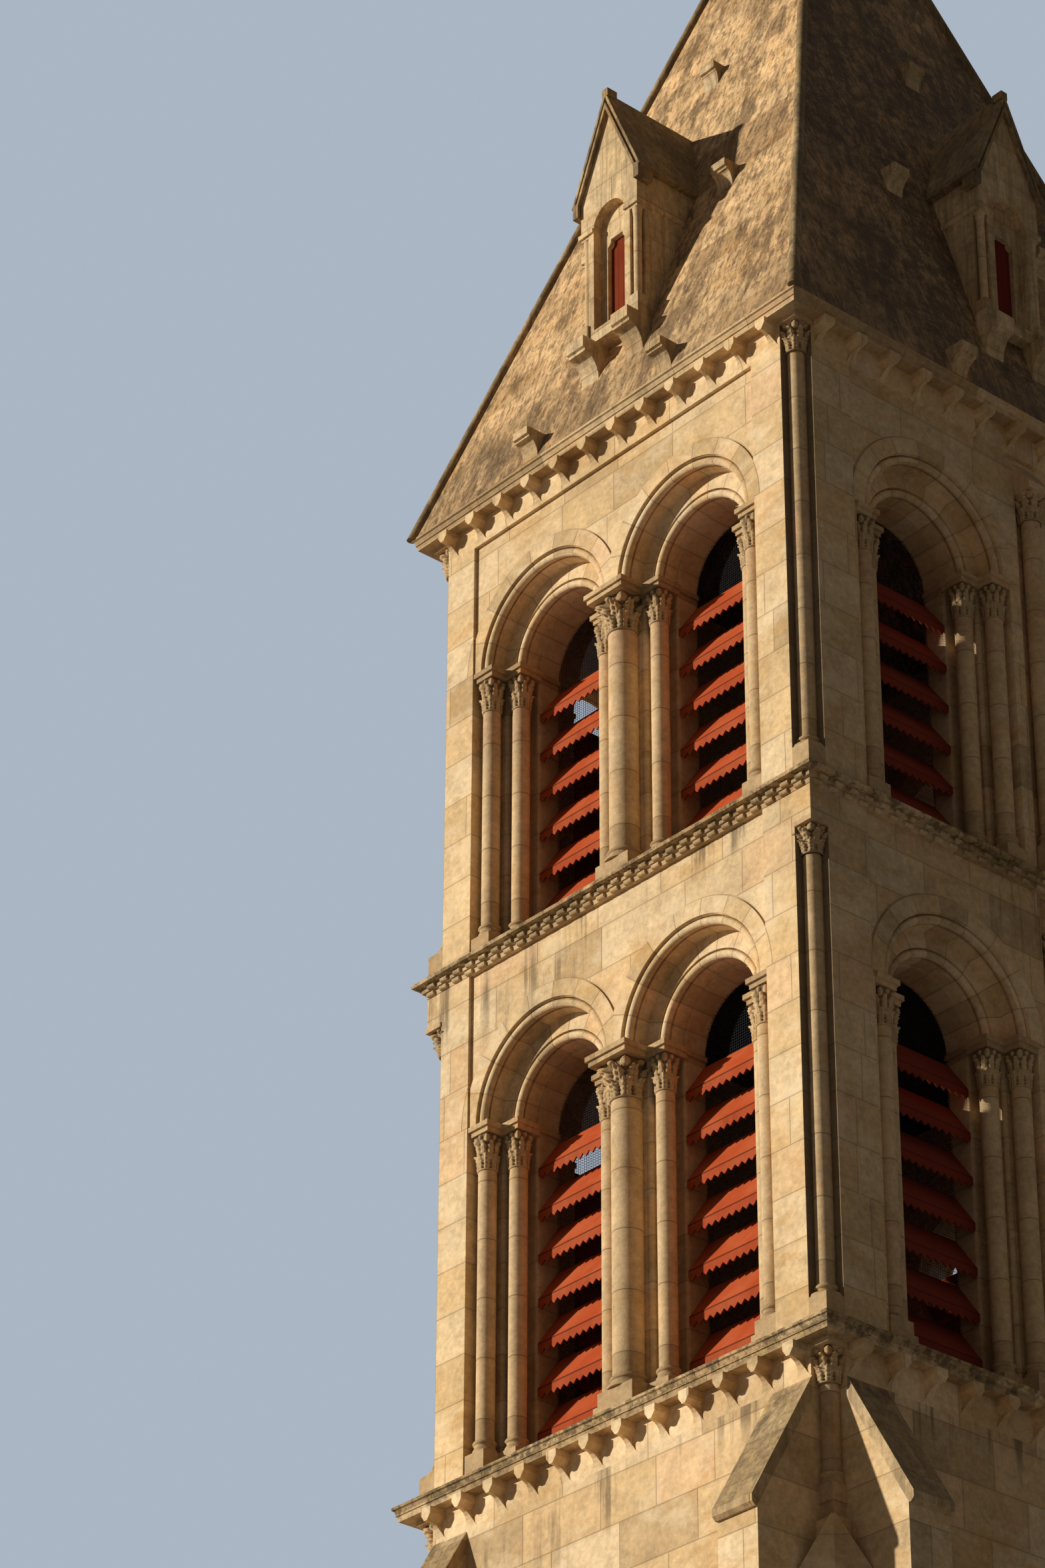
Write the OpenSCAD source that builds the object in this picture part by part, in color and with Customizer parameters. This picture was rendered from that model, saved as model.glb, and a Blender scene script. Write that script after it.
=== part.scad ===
// Stone bell tower: a hollow ashlar shaft with corner buttresses, two belfry stages
// with twin round-arched louvred openings on every face, and a pyramidal stone spire.
// Millimetres, +Z up. The origin is at the centre of the footprint, on the ground.
// The front looks along -Y. The plan is a rectangle, wider along Y than along X.

/* [Plan] */
// Half width of the tower walls along X, centre to the outer face of the corner piers
half_x = 2490; // [2400:10:2600]
// Half width of the tower walls along Y
half_y = 2930; // [2850:10:3050]
// Thickness of the walls
wall_t = 700; // [660:10:800]
// Side of the square nook cut out of each corner for its shaft
nook = 195; // [180:5:210]
// Depth by which the wall panels lie behind the corner piers
panel_in = 36; // [20:1:45]

/* [Heights] */
// Top edge of the lower cornice
lower_cornice_top = 16830; // [16500:10:17200]
// Top edge of the billet string course
string_top = 21890; // [21800:10:22100]
// Top edge of the upper cornice
upper_cornice_top = 26780; // [26700:10:27000]
// Point of the spire
spire_top = 36250; // [35500:10:37500]
// Height of the corbel tables
corbel_h = 278; // [260:2:300]
// Height of the cornices
cornice_h = 126; // [110:2:140]
// Height of the base course
plinth_h = 900; // [700:10:1200]

/* [Openings] */
// Radius of the soffit of the outer order of the arches
outer_r = 788; // [780:1:795]
// Radius of the soffit of the inner order of the arches
inner_r = 562; // [555:1:570]
// Half width of the clear opening behind the orders
clear_r = 540; // [520:1:550]
// Depth of each of the two outer orders
order_d = 209; // [200:1:218]
// Depth of the moulded impost under the arches
impost_h = 97; // [80:1:110]
// Rise from the foot of the lower openings to the springing of their arches
lower_rise = 3325; // [3250:5:3350]
// Rise from the foot of the upper openings to the springing of their arches
upper_rise = 3060; // [3000:5:3080]

/* [Shafts] */
// Diameter of the corner shafts
corner_d = 160; // [150:2:168]
// Diameter of the jamb shafts
jamb_d = 166; // [156:2:170]
// Diameter of the columns between the twin openings of the narrow faces
centre_d = 276; // [260:2:284]
// Diameter of the tall shafts between the openings of the wide faces
mid_d = 176; // [160:2:184]

/* [Spire] */
// Thickness of the spire's masonry
spire_t = 340; // [300:10:400]
// Diameter of the roll mouldings on the hips
hip_d = 106; // [96:2:130]
// Half width of the dormers
dormer_hw = 400; // [380:5:420]

/* [Hidden] */
$fn = 48;

// Colours of the stone and the painted metal
stone = "wheat";
old_stone = "tan";
spire_stone = "rosybrown";
louvre_red = "orangered";
shutter_red = "darkred";

// Plan positions
panel_x = half_x - panel_in;
panel_y = half_y - panel_in;
bay_x = 952;
bay_y = 1248;
nook_r = 962;
pier_x = half_x - nook - 382;
pier_y = half_y - nook - 465;
corner_axis = nook - 47;
step_r = 740;
slot_hw = 150;
slot_d = 60;
roll_r = 38;
rebate = 80;
outer_axis_r = 823;
inner_axis_r = 603;
axis_in = 88;
inner_axis_in = order_d + 46;
centre_in = 130;
centre_hw = 212;
mid_in = -40;
mid_capital_h = 155;
mid_abacus_h = 80;
mid_abacus_hw = 145;
mid_abacus_out = 149;
mid_weather_h = 272;
mid_weather_drop = 54;
mid_pedestal_hw = 130;
mid_pedestal_out = 140;
abacus_hw = 117;
centre_abacus_hw = 254;
block_margin = 30;
edge_r = 38;
edge_groove = 55;
inner_edge_r = 30;
inner_edge_groove = 42;
band_r0 = outer_r + rebate;
band_r1 = outer_r + 236;
band_out = 18;

// Base course, buttresses and diagonal corner piers
plinth_out = 120;
plinth_chamfer = 120;
buttress_w = 442;
buttress_p = 610;
drip_out = 55;
slab_t = 90;
weather_rise = 1150;
pier_out = 330;
pier_in = 60;
pier_depth = 240;
pier_slope = 1.74;
gable_flat = 20;
pedestal_h = 151;
pedestal_hw = 93;
base_block_h = 148;
base_block_hw = 108;
corner_block_hw = nook - 47;
corner_capital_h = 219;
corner_abacus_h = 45;

// Corbel tables
corbel_w = 120;
corbel_out = 160;
corbel_step = 30;
corbel_side_h = 62;
neck_drop = 120;
neck_hw = 18;
spur_hw = 100;
corbel_end = 90;
corbel_count_x = 12;
corbel_count_y = 14;

// Billets
billet_pitch = 177;
billet_r = 25;

// Louvres
louvre_in = 2 * order_d + 12;
blade_t = 14;
blade_run = 225;
blade_rise = 323;
fringe_h = 66;
tooth_h = 41;
teeth = 13;
lower_louvre_drop = 404;
lower_louvre_pitch = 416;
lower_louvre_count = 8;
upper_louvre_drop = 450;
upper_louvre_pitch = 425;
upper_louvre_count = 7;

// Heights worked out from the driving ones
lower_soffit = lower_cornice_top - cornice_h;
lower_joint = lower_soffit - corbel_h;
lower_foot = lower_cornice_top + 60;
string_h = 150;
lower_top = string_top - string_h;
upper_foot = string_top;
upper_soffit = upper_cornice_top - cornice_h;
upper_joint = upper_soffit - corbel_h;
lower_spring = lower_foot + lower_rise;
upper_spring = upper_foot + upper_rise;
capital_h = 362;
base_h = 120;
plinth_block = 222;
tall_block = 342;
upper_corner_block = 280;
lower_corner_block = 205;
floor_t = 200;
lower_astragal = lower_spring - impost_h - capital_h;
upper_astragal = upper_spring - impost_h - capital_h;
lower_nook_top = lower_spring + 1217;
lower_corner_astragal = lower_nook_top - 299;
upper_corner_astragal = upper_soffit - 208;
weather_top = lower_joint - 4;
weather_foot = weather_top - weather_rise;
pier_apex = lower_joint - 1204;

// Spire
spire_hx = half_x + 160;
spire_hy = half_y + 160;
spire_h = spire_top - upper_cornice_top;
cap_z = spire_top - 650;
big = 40000;

// Brackets on the spire: heights as parts of its height, places as parts of its half width there
bracket_w = 200;
bracket_h = 280;
bracket_levels = [0.5354, 0.3004, 0.0327];
bracket_outs = [150, 190, 225];
bracket_places_x = [0, 0.5, 0.362];
bracket_places_y = [0, 0.458, 0.331];

// Dormers, measured from the foot of their front walls
dormer_y = half_y - 23;
dormer_x = half_x - 23;
dormer_foot = upper_cornice_top + 1080;
dormer_eave = dormer_foot + 1715;
dormer_spring = dormer_foot + 1340;
dormer_depth = 2400;
gable_slope = 2.41;
roof_out = 87;
coping_out = 45;
coping_band = 30;
kneeler_w = 70;
recess_r = 220;
recess_d = 100;
window_hw = 130;
window_z0 = dormer_foot + 140;
window_z1 = dormer_foot + 1200;
shoulder_w = 45;
shoulder_h = 80;
shutter_in = 50;
shutter_t = 40;
impost_out = 20;
impost_low = 30;
impost_high = 20;
colonnette_r = 40;
colonnette_nook = 105;
colonnette_block = 228;
colonnette_block_out = 25;
passage_hw = 230;
dormer_wall_t = 260;
support_x = 310;
support_w = 230;
support_h = 420;
support_out = 163;

// Solid whose every level section is a rectangle, from a profile of [offset, height] points
module mitred(hx, hy, pts) {
    intersection() {
        rotate([90, 0, 0])
            linear_extrude(height = 4 * hy, center = true)
                mirrored_profile(hx, pts);
        rotate([90, 0, 90])
            linear_extrude(height = 4 * hx, center = true)
                mirrored_profile(hy, pts);
    }
}

// The profile and its mirror image as one outline
module mirrored_profile(h, pts) {
    n = len(pts);
    polygon(concat([for (p = pts) [h + p[0], p[1]]],
        [for (i = [n - 1 : -1 : 0]) [-h - pts[i][0], pts[i][1]]]));
}

// A box centred in plan
module block(hx, hy, z0, z1) {
    translate([-hx, -hy, z0])
        cube([2 * hx, 2 * hy, z1 - z0]);
}

// The four corners by mirroring
module corners() {
    for (sx = [-1, 1], sy = [-1, 1])
        scale_sign(sx, sy)
            children();
}

// Mirror across X, Y or both
module scale_sign(sx, sy) {
    mirror([sx < 0 ? 1 : 0, 0, 0])
        mirror([0, sy < 0 ? 1 : 0, 0])
            children();
}

// Put children made for a front face onto all four faces. A child is drawn with its face
// plane at Y = 0 looking along -Y, and child 0 goes to the narrow faces, child 1 to the wide
module four_faces(dx, dy) {
    for (s = [0, 180])
        rotate([0, 0, s])
            translate([0, -dy, 0])
                children(0);
    for (s = [90, 270])
        rotate([0, 0, s])
            translate([0, -dx, 0])
                children(1);
}

// Bays of the two narrow faces. The child's X points away from the middle of the face
module narrow_bays() {
    for (s = [0, 180], m = [0, 1])
        rotate([0, 0, s])
            translate([0, -panel_y, 0])
                mirror([m, 0, 0])
                    translate([bay_x, 0, 0])
                        children();
}

// Bays of the two wide faces, the same way round
module wide_bays() {
    for (s = [90, 270], m = [0, 1])
        rotate([0, 0, s])
            translate([0, -panel_x, 0])
                mirror([m, 0, 0])
                    translate([bay_y, 0, 0])
                        children();
}

module all_bays() {
    narrow_bays()
        children();
    wide_bays()
        children();
}

// An arched hole: a half disc on a rectangle, cut from d0 to d1 behind the face
module arch_cut(r, half_w, foot, spring, d0, d1) {
    translate([0, d0, spring])
        rotate([-90, 0, 0])
            cylinder(r = r, h = d1 - d0, $fn = 96);
    translate([-half_w, d0, foot])
        cube([2 * half_w, d1 - d0, spring - foot]);
}

// Everything that one opening takes out of its wall
module bay_cuts(foot, spring) {
    eps = 5;
    arch_cut(outer_r, nook_r, foot, spring, -panel_in - eps, order_d);
    arch_cut(inner_r, step_r, foot, spring, order_d - eps, 2 * order_d);
    arch_cut(clear_r, clear_r, foot, spring, 2 * order_d - eps, wall_t + eps);
    arch_rebate(outer_r + rebate - 5, spring, 0);
    arch_rebate(inner_r + rebate - 5, spring, order_d);
}

// The square rebate that an arch roll lies in
module arch_rebate(r, spring, d) {
    translate([0, d - 5, spring])
        rotate([-90, 0, 0])
            cylinder(r = r, h = rebate + 5, $fn = 96);
}

// Square nooks at the four corners
module corner_nooks(z0, z1) {
    corners()
        translate([half_x - nook, half_y - nook, z0])
            cube([nook + 10, nook + 10, z1 - z0]);
}

// Sunk panels between the corner piers
module panels(z0, z1) {
    four_faces(panel_x, panel_y) {
        translate([-pier_x, -panel_in - 10, z0])
            cube([2 * pier_x, panel_in + 10, z1 - z0]);
        translate([-pier_y, -panel_in - 10, z0])
            cube([2 * pier_y, panel_in + 10, z1 - z0]);
    }
}

// Slots for the tall shafts in the middle of the wide faces
module mid_slots(z0, z1) {
    for (s = [90, 270])
        rotate([0, 0, s])
            translate([-slot_hw, -half_x - 10, z0])
                cube([2 * slot_hw, slot_d + panel_in + 10, z1 - z0]);
}

// Square grooves along the front edges of both steps of a jamb
module edge_grooves(z0, z1) {
    for (s = [-1, 1]) {
        low = s < 0 ? -step_r - edge_groove : step_r - 1;
        span(low, low + edge_groove + 1, order_d - 1, order_d + edge_groove, z0, z1);
        inner = s < 0 ? -clear_r - inner_edge_groove : clear_r - 1;
        span(inner, inner + inner_edge_groove + 1, 2 * order_d - 1,
            2 * order_d + inner_edge_groove, z0, z1);
    }
}

// Rolls that fill those grooves
module edge_rolls(z0, z1) {
    for (s = [-1, 1]) {
        translate([s * (step_r + edge_r + 2), order_d + edge_r + 2, z0])
            cylinder(r = edge_r, h = z1 - z0);
        translate([s * (clear_r + inner_edge_r + 1), 2 * order_d + inner_edge_r + 1, z0])
            cylinder(r = inner_edge_r, h = z1 - z0);
    }
}

// Raised band round the head of an arch
module arch_band(spring) {
    intersection() {
        translate([0, 0, spring])
            rotate([90, 0, 0])
                linear_extrude(height = band_out)
                    difference() {
                        circle(r = band_r1, $fn = 96);
                        circle(r = band_r0, $fn = 96);
                    }
        span(-band_r1 - 5, band_r1 + 5, -band_out - 5, 5, spring, spring + band_r1 + 5);
    }
}

// The whole masonry of one belfry stage, before it is divided into its four walls
module stage(foot, spring, top, nook_top) {
    difference() {
        block(half_x, half_y, foot, top);
        block(half_x - wall_t, half_y - wall_t, foot - 1, top + 1);
        corner_nooks(foot - 1, nook_top);
        panels(foot - 1, top + 1);
        mid_slots(foot - 1, top + 1);
        all_bays()
            bay_cuts(foot - 1, spring);
        all_bays()
            edge_grooves(foot + plinth_block, spring - impost_h);
    }
    all_bays() {
        edge_rolls(foot + plinth_block, spring - impost_h);
        arch_band(spring);
    }
}

// One of the four walls of a stage: side 0 front, 1 right, 2 back, 3 left
module stage_wall(side, foot, spring, top, nook_top) {
    intersection() {
        stage(foot, spring, top, nook_top);
        wall_box(side, foot, top);
    }
}

// The box that a wall fills: front and back walls take the corners
module wall_box(side, z0, z1) {
    run = half_y - wall_t;
    if (side == 0)
        translate([-half_x - 9, -half_y - 9, z0])
            cube([2 * half_x + 18, wall_t + 9, z1 - z0]);
    if (side == 2)
        translate([-half_x - 9, run, z0])
            cube([2 * half_x + 18, wall_t + 9, z1 - z0]);
    if (side == 1)
        translate([half_x - wall_t, -run, z0])
            cube([wall_t + 9, 2 * run, z1 - z0]);
    if (side == 3)
        translate([-half_x - 9, -run, z0])
            cube([wall_t + 9, 2 * run, z1 - z0]);
}

// Walls of the plain shaft below the belfry
module shaft_wall(side) {
    color(stone)
        difference() {
            intersection() {
                difference() {
                    block(half_x, half_y, plinth_h, lower_joint);
                    block(half_x - wall_t, half_y - wall_t, plinth_h - 1, lower_joint + 1);
                }
                wall_box(side, plinth_h, lower_joint);
            }
            corner_nooks(pier_apex, lower_joint + 1);
        }
}

// Buttresses: a pair at each corner, one on each face, from the base course up
// A child drawn at the corner end of a face, put at all eight ends. The child's X runs
// from the nook towards the middle of the face and its -Y points out of the wall
module eight_ends() {
    four_faces(half_x, half_y) {
        for (s = [0, 1])
            mirror([s, 0, 0])
                translate([half_x - nook, 0, 0])
                    mirror([1, 0, 0])
                        children();
        for (s = [0, 1])
            mirror([s, 0, 0])
                translate([half_y - nook, 0, 0])
                    mirror([1, 0, 0])
                        children();
    }
}

// One buttress below its sloping slab
module buttress() {
    slope_z = weather_rise * buttress_p / (buttress_p + drip_out);
    rotate([90, 0, 90])
        linear_extrude(height = buttress_w)
            polygon([[0, plinth_h], [-buttress_p, plinth_h],
                [-buttress_p, weather_top - slope_z - slab_t * 2],
                [0, weather_top - slab_t * 2]]);
}

module buttresses() {
    color(stone)
        eight_ends()
            buttress();
}

// One sloping slab with a drip lip at its foot
module weathering() {
    slope_z = weather_rise * buttress_p / (buttress_p + drip_out);
    run = buttress_p + drip_out;
    rotate([90, 0, 90])
        linear_extrude(height = buttress_w)
            polygon([[0, weather_top - slab_t * 2], [0, weather_top], [-run, weather_foot],
                [-run, weather_foot - 60], [-run + 30, weather_foot - slab_t],
                [-buttress_p - 1, weather_foot - slab_t],
                [-buttress_p, weather_top - slope_z - slab_t * 2]]);
}

module buttress_weatherings() {
    color(old_stone)
        eight_ends()
            weathering();
}

// Diagonal piers with gabled tops, standing between the two buttresses of a corner
module corner_pier() {
    reach = nook + pier_out;
    eaves = pier_apex - (reach - gable_flat) * pier_slope;
    translate([half_x - nook, half_y - nook, 0])
        intersection() {
            rotate([0, 0, 45])
                translate([pier_in, 0, 0])
                    rotate([90, 0, 90])
                        linear_extrude(height = pier_depth)
                            polygon([[-reach, plinth_h], [reach, plinth_h],
                                [reach, eaves],
                                [gable_flat, pier_apex], [-gable_flat, pier_apex],
                                [-reach, eaves]]);
            translate([0, 0, plinth_h])
                cube([reach, reach, pier_apex]);
        }
}

module corner_piers() {
    color(stone)
        corners()
            difference() {
                corner_pier();
                translate([half_x - nook - 1, half_y - nook - 1, 0])
                    cube([nook + 1, nook + 1, pier_apex + 1]);
            }
}

// Turned base: an apron, a hollow and a thin roll, as a body of revolution
module turned_base(r, apron) {
    rotate_extrude()
        polygon([[0, 0], [apron, 0], [apron, 10], [apron - 5, 28], [r + 13, 46], [r + 8, 60],
            [r + 11, 74], [r + 20, 82], [r + 24, 93], [r + 20, 104], [r + 11, 110],
            [r + 6, base_h], [0, base_h]]);
}

// Bell of a capital with its neck ring
module bell(r, r_top, h) {
    rotate_extrude()
        polygon([[0, 0], [r + 16, 0], [r + 16, 24], [r + 4, 32], [r + 10, h * 0.45],
            [r_top * 0.92, h * 0.82], [r_top, h], [0, h]]);
}

// A shaft with a moulded base on a square block
module shaft(r, block_h, block_hw, z0, z1) {
    translate([-block_hw, -block_hw, z0])
        cube([2 * block_hw, 2 * block_hw, block_h]);
    translate([0, 0, z0 + block_h])
        turned_base(r, block_hw - 6);
    translate([0, 0, z0 + block_h + base_h])
        cylinder(r = r, h = z1 - z0 - block_h - base_h);
}

// Keeps only what lies in the open square of a nook, so that shafts do not enter the walls
module nook_only(z0, z1) {
    intersection() {
        children();
        translate([half_x - nook, half_y - nook, z0])
            cube([nook + 60, nook + 60, z1 - z0]);
    }
}

module base_corner_shafts() {
    axis_x = half_x - corner_axis;
    axis_y = half_y - corner_axis;
    block_z = pier_apex + pedestal_h;
    color(stone)
        corners()
            nook_only(pier_apex, lower_soffit) {
                union() {
                    translate([axis_x - pedestal_hw, axis_y - pedestal_hw, pier_apex])
                        cube([2 * pedestal_hw, 2 * pedestal_hw, pedestal_h]);
                    translate([axis_x, axis_y, 0])
                        shaft(corner_d / 2, base_block_h, base_block_hw, block_z,
                            lower_soffit - corner_capital_h);
                    corner_capital(lower_soffit - corner_capital_h, lower_soffit);
                }
            }
}

// A corner capital: a bell under a thin square abacus
module corner_capital(z0, z1) {
    translate([half_x - corner_axis, half_y - corner_axis, z0])
        bell(corner_d / 2, 128, z1 - z0 - corner_abacus_h);
    translate([half_x - nook, half_y - nook, z1 - corner_abacus_h])
        cube([nook + 12, nook + 12, corner_abacus_h]);
}

// Spur of a corbel seen from the side: a hollow curve below an upright block
function spur_profile(h, out) = concat(
    [[0, 0]],
    [for (a = [15 : 15 : 90]) [(corbel_step - out) * (1 - cos(a)), (h - neck_drop) * sin(a)]],
    [[corbel_step - out, h], [0, h]]);

// One corbel: a block with cut lower corners, and a spur below it that spreads at the wall
module corbel(h) {
    hw = corbel_w / 2;
    foot = h - neck_drop;
    rotate([90, 0, 0])
        linear_extrude(height = corbel_out)
            polygon([[-hw, h], [-hw, h - corbel_side_h], [-neck_hw, foot], [neck_hw, foot],
                [hw, h - corbel_side_h], [hw, h]]);
    intersection() {
        rotate([90, 0, 90])
            linear_extrude(height = 2 * spur_hw, center = true)
                polygon(spur_profile(h, corbel_out));
        rotate([90, 0, 0])
            linear_extrude(height = corbel_out)
                polygon([[-spur_hw, 0], [-spur_hw * 0.56, foot * 0.3], [-spur_hw * 0.3, foot * 0.65],
                    [-neck_hw, foot], [-neck_hw, foot + 1], [neck_hw, foot + 1], [neck_hw, foot],
                    [spur_hw * 0.3, foot * 0.65], [spur_hw * 0.56, foot * 0.3], [spur_hw, 0]]);
    }
}

// Ring of plain wall with its corbels
module corbel_table(z0, z1) {
    h = z1 - z0;
    span_x = half_x - nook - corbel_end;
    span_y = half_y - nook - corbel_end;
    step_x = 2 * span_x / (corbel_count_x - 1);
    step_y = 2 * span_y / (corbel_count_y - 1);
    difference() {
        block(half_x, half_y, z0, z1);
        block(half_x - wall_t, half_y - wall_t, z0 - 1, z1 + 1);
        corner_nooks(z0 - 1, z1 + 1);
    }
    four_faces(half_x, half_y) {
        for (i = [0 : corbel_count_x - 1])
            translate([-span_x + i * step_x, 0, z0])
                corbel(h);
        for (i = [0 : corbel_count_y - 1])
            translate([-span_y + i * step_y, 0, z0])
                corbel(h);
    }
}

// Cornice: two fascias parted by a groove, a drip edge, and a sloping top
module cornice(z0, weather) {
    difference() {
        mitred(half_x, half_y, [[122, z0], [128, z0 + 46], [140, z0 + 50], [140, z0 + 58],
            [136, z0 + 62], [150, z0 + 96], [166, z0 + 104], [168, z0 + cornice_h],
            [weather[0], z0 + cornice_h + weather[1]]]);
        block(half_x - wall_t, half_y - wall_t, z0 - 1, z0 + cornice_h + weather[1] + 1);
    }
}

// A box given by its ranges along X, Y and Z
module span(x0, x1, y0, y1, z0, z1) {
    translate([x0, y0, z0])
        cube([x1 - x0, y1 - y0, z1 - z0]);
}

// A free shaft standing on the moulded base of its block
module free_shaft(x, d, r, z0, z1, apron) {
    translate([x, d, z0])
        turned_base(r, apron);
    translate([x, d, z0 + base_h])
        cylinder(r = r, h = z1 - z0 - base_h);
}

// A box at one side of a bay, from r0 to r1 away from its middle
module side_span(s, r0, r1, d0, d1, z0, z1) {
    span(min(s * r0, s * r1), max(s * r0, s * r1), d0, d1, z0, z1);
}

// Inner shafts of both sides of a bay and the outer shafts of the sides listed
module bay_shafts(foot, astragal, outer_sides) {
    top = foot + plinth_block;
    hw = jamb_d / 2 + block_margin;
    for (s = [-1, 1]) {
        side_span(s, inner_axis_r - hw, step_r, inner_axis_in - hw, 2 * order_d, foot, top);
        free_shaft(s * inner_axis_r, inner_axis_in, jamb_d / 2, top, astragal, hw - 2);
    }
    for (s = outer_sides) {
        side_span(s, outer_axis_r - hw, nook_r, axis_in - hw, order_d, foot, top);
        free_shaft(s * outer_axis_r, axis_in, jamb_d / 2, top, astragal, hw - 2);
    }
}

module jamb_shafts(foot, astragal) {
    narrow_bays()
        bay_shafts(foot, astragal, [1]);
    wide_bays()
        bay_shafts(foot, astragal, [-1, 1]);
}

// Columns in the middle of the narrow faces, and tall shafts in the slots of the wide ones
module centre_columns(foot, astragal, tall_top, slot_top) {
    four_faces(panel_x, panel_y) {
        front_of(order_d)
            union() {
                span(-centre_hw, centre_hw, -30, order_d, foot, foot + plinth_block);
                free_shaft(0, centre_in, centre_d / 2, foot + plinth_block, astragal,
                    centre_d / 2 + 50);
            }
        front_of(slot_d)
            tall_shaft(foot, tall_top, slot_top);
    }
}

// Keeps what lies in front of a depth behind the face
module front_of(d) {
    intersection() {
        children();
        span(-slot_hw - 100, slot_hw + 100, -300, d, 0, spire_top);
    }
}

// A tall shaft on its pedestal, with a capital and a sloping block over it
module tall_shaft(foot, top, slot_top) {
    astragal = top - mid_abacus_h - mid_capital_h;
    out = panel_in + mid_abacus_out;
    span(-mid_pedestal_hw, mid_pedestal_hw, -mid_pedestal_out, slot_d, foot, foot + tall_block);
    free_shaft(0, mid_in, mid_d / 2, foot + tall_block, astragal, mid_d / 2 + 30);
    translate([0, mid_in, astragal])
        bell(mid_d / 2, mid_abacus_hw - 5, mid_capital_h);
    span(-mid_abacus_hw, mid_abacus_hw, -out, slot_d, top - mid_abacus_h, top);
    rotate([90, 0, 90])
        linear_extrude(height = 2 * mid_abacus_hw, center = true)
            polygon([[0, top], [-out + 20, top], [-out + 20, top + 20], [0, top + mid_weather_h]]);
    span(-slot_hw, slot_hw, 0, slot_d, top, slot_top);
}

// Capitals of the jamb shafts and of the middle columns
module bay_bells(z0, outer_sides) {
    for (s = [-1, 1])
        translate([s * inner_axis_r, inner_axis_in, z0])
            bell(jamb_d / 2, abacus_hw - 12, capital_h);
    for (s = outer_sides)
        translate([s * outer_axis_r, axis_in, z0])
            bell(jamb_d / 2, abacus_hw - 12, capital_h);
}

module capitals(z0) {
    narrow_bays()
        bay_bells(z0, [1]);
    wide_bays()
        bay_bells(z0, [-1, 1]);
    for (s = [0, 180])
        rotate([0, 0, s])
            translate([0, -panel_y, 0])
                front_of(order_d)
                    translate([0, centre_in, z0])
                        bell(centre_d / 2, centre_abacus_hw - 40, capital_h);
}

// Moulded imposts stepping back from order to order and along the clear reveal
module bay_imposts(z0, outer_sides) {
    z1 = z0 + impost_h;
    for (s = [-1, 1]) {
        impost_step(s, inner_axis_r - abacus_hw, step_r, inner_axis_in - abacus_hw,
            2 * order_d, z0, z1);
        impost_step(s, clear_r - 28, clear_r, 2 * order_d, wall_t - panel_in, z0, z1);
    }
    for (s = outer_sides)
        impost_step(s, outer_axis_r - abacus_hw - 8, nook_r, axis_in - abacus_hw, order_d, z0, z1);
}

// One step of an impost: a slab over a chamfered bed mould
module impost_step(s, r0, r1, d0, d1, z0, z1) {
    mid = z0 + impost_h / 2;
    side_span(s, r0, r1, d0, d1, mid, z1);
    side_span(s, r0 + 22, r1, min(d0 + 22, d1 - 30), d1, z0, mid);
}

module imposts(z0) {
    narrow_bays()
        bay_imposts(z0, [1]);
    wide_bays()
        bay_imposts(z0, [-1, 1]);
    hw = centre_abacus_hw;
    out = centre_abacus_hw - centre_in;
    mid = z0 + impost_h / 2;
    for (s = [0, 180])
        rotate([0, 0, s])
            translate([0, -panel_y, 0]) {
                span(-hw, hw, -out, order_d, mid, z0 + impost_h);
                span(-hw + 22, hw - 22, -out + 22, order_d, z0, mid);
            }
}

// Roll moulding in the rebate of an arch, with the square back that seats it
module arch_roll(r, spring, d) {
    intersection() {
        translate([0, d, spring])
            rotate([-90, 0, 0])
                rotate_extrude($fn = 96)
                    union() {
                        translate([r, 40])
                            circle(r = roll_r, $fn = 24);
                        translate([r, 40])
                            square([40, rebate - 40]);
                    }
        span(-r - 60, r + 60, d - 10, d + rebate + 10, spring, spring + r + 60);
    }
}

module arch_rolls(spring) {
    all_bays() {
        arch_roll(outer_axis_r, spring, 0);
        arch_roll(inner_axis_r - 6, spring, order_d);
    }
}

// Louvres: sloping blades with a toothed fringe along the front edge
module louvre(z) {
    w = 2 * clear_r;
    pitch = w / teeth;
    translate([-clear_r, louvre_in, z])
        rotate([90, 0, 90])
            linear_extrude(height = w)
                polygon([[0, 0], [blade_run, blade_rise], [blade_run, blade_rise - blade_t * 1.75],
                    [blade_t, -blade_t * 0.3], [blade_t, -fringe_h], [0, -fringe_h]]);
    translate([0, louvre_in + blade_t, z])
        rotate([90, 0, 0])
            linear_extrude(height = blade_t)
                polygon(concat([[-clear_r, -fringe_h + 1]],
                    [for (i = [0 : teeth - 1]) each [[-clear_r + i * pitch, -fringe_h],
                        [-clear_r + (i + 0.5) * pitch, -fringe_h - tooth_h]]],
                    [[clear_r, -fringe_h], [clear_r, -fringe_h + 1]]));
}

// A row of blades down an opening, the last one cut off by the sill
module louvres(spring, drop, count, pitch, foot) {
    all_bays()
        intersection() {
            for (i = [0 : count - 1])
                louvre(spring - drop - i * pitch);
            span(-clear_r, clear_r, 0, wall_t, foot, spring - impost_h);
        }
}

// Billet string: a slab over two rows of small half-round blocks
module billet_row(z, out, shift) {
    count_x = floor(2 * half_x / billet_pitch);
    count_y = floor(2 * half_y / billet_pitch);
    four_faces(half_x, half_y) {
        billets(count_x, 2 * half_x / count_x, z, out, shift);
        billets(count_y, 2 * half_y / count_y, z, out, shift);
    }
}

module billets(count, pitch, z, out, shift) {
    for (i = [0 : count - 1])
        translate([(i - count / 2 + 0.5 + shift) * pitch - pitch / 4, -out, z])
            rotate([0, 90, 0])
                cylinder(r = billet_r, h = pitch / 2, $fn = 16);
}

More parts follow.
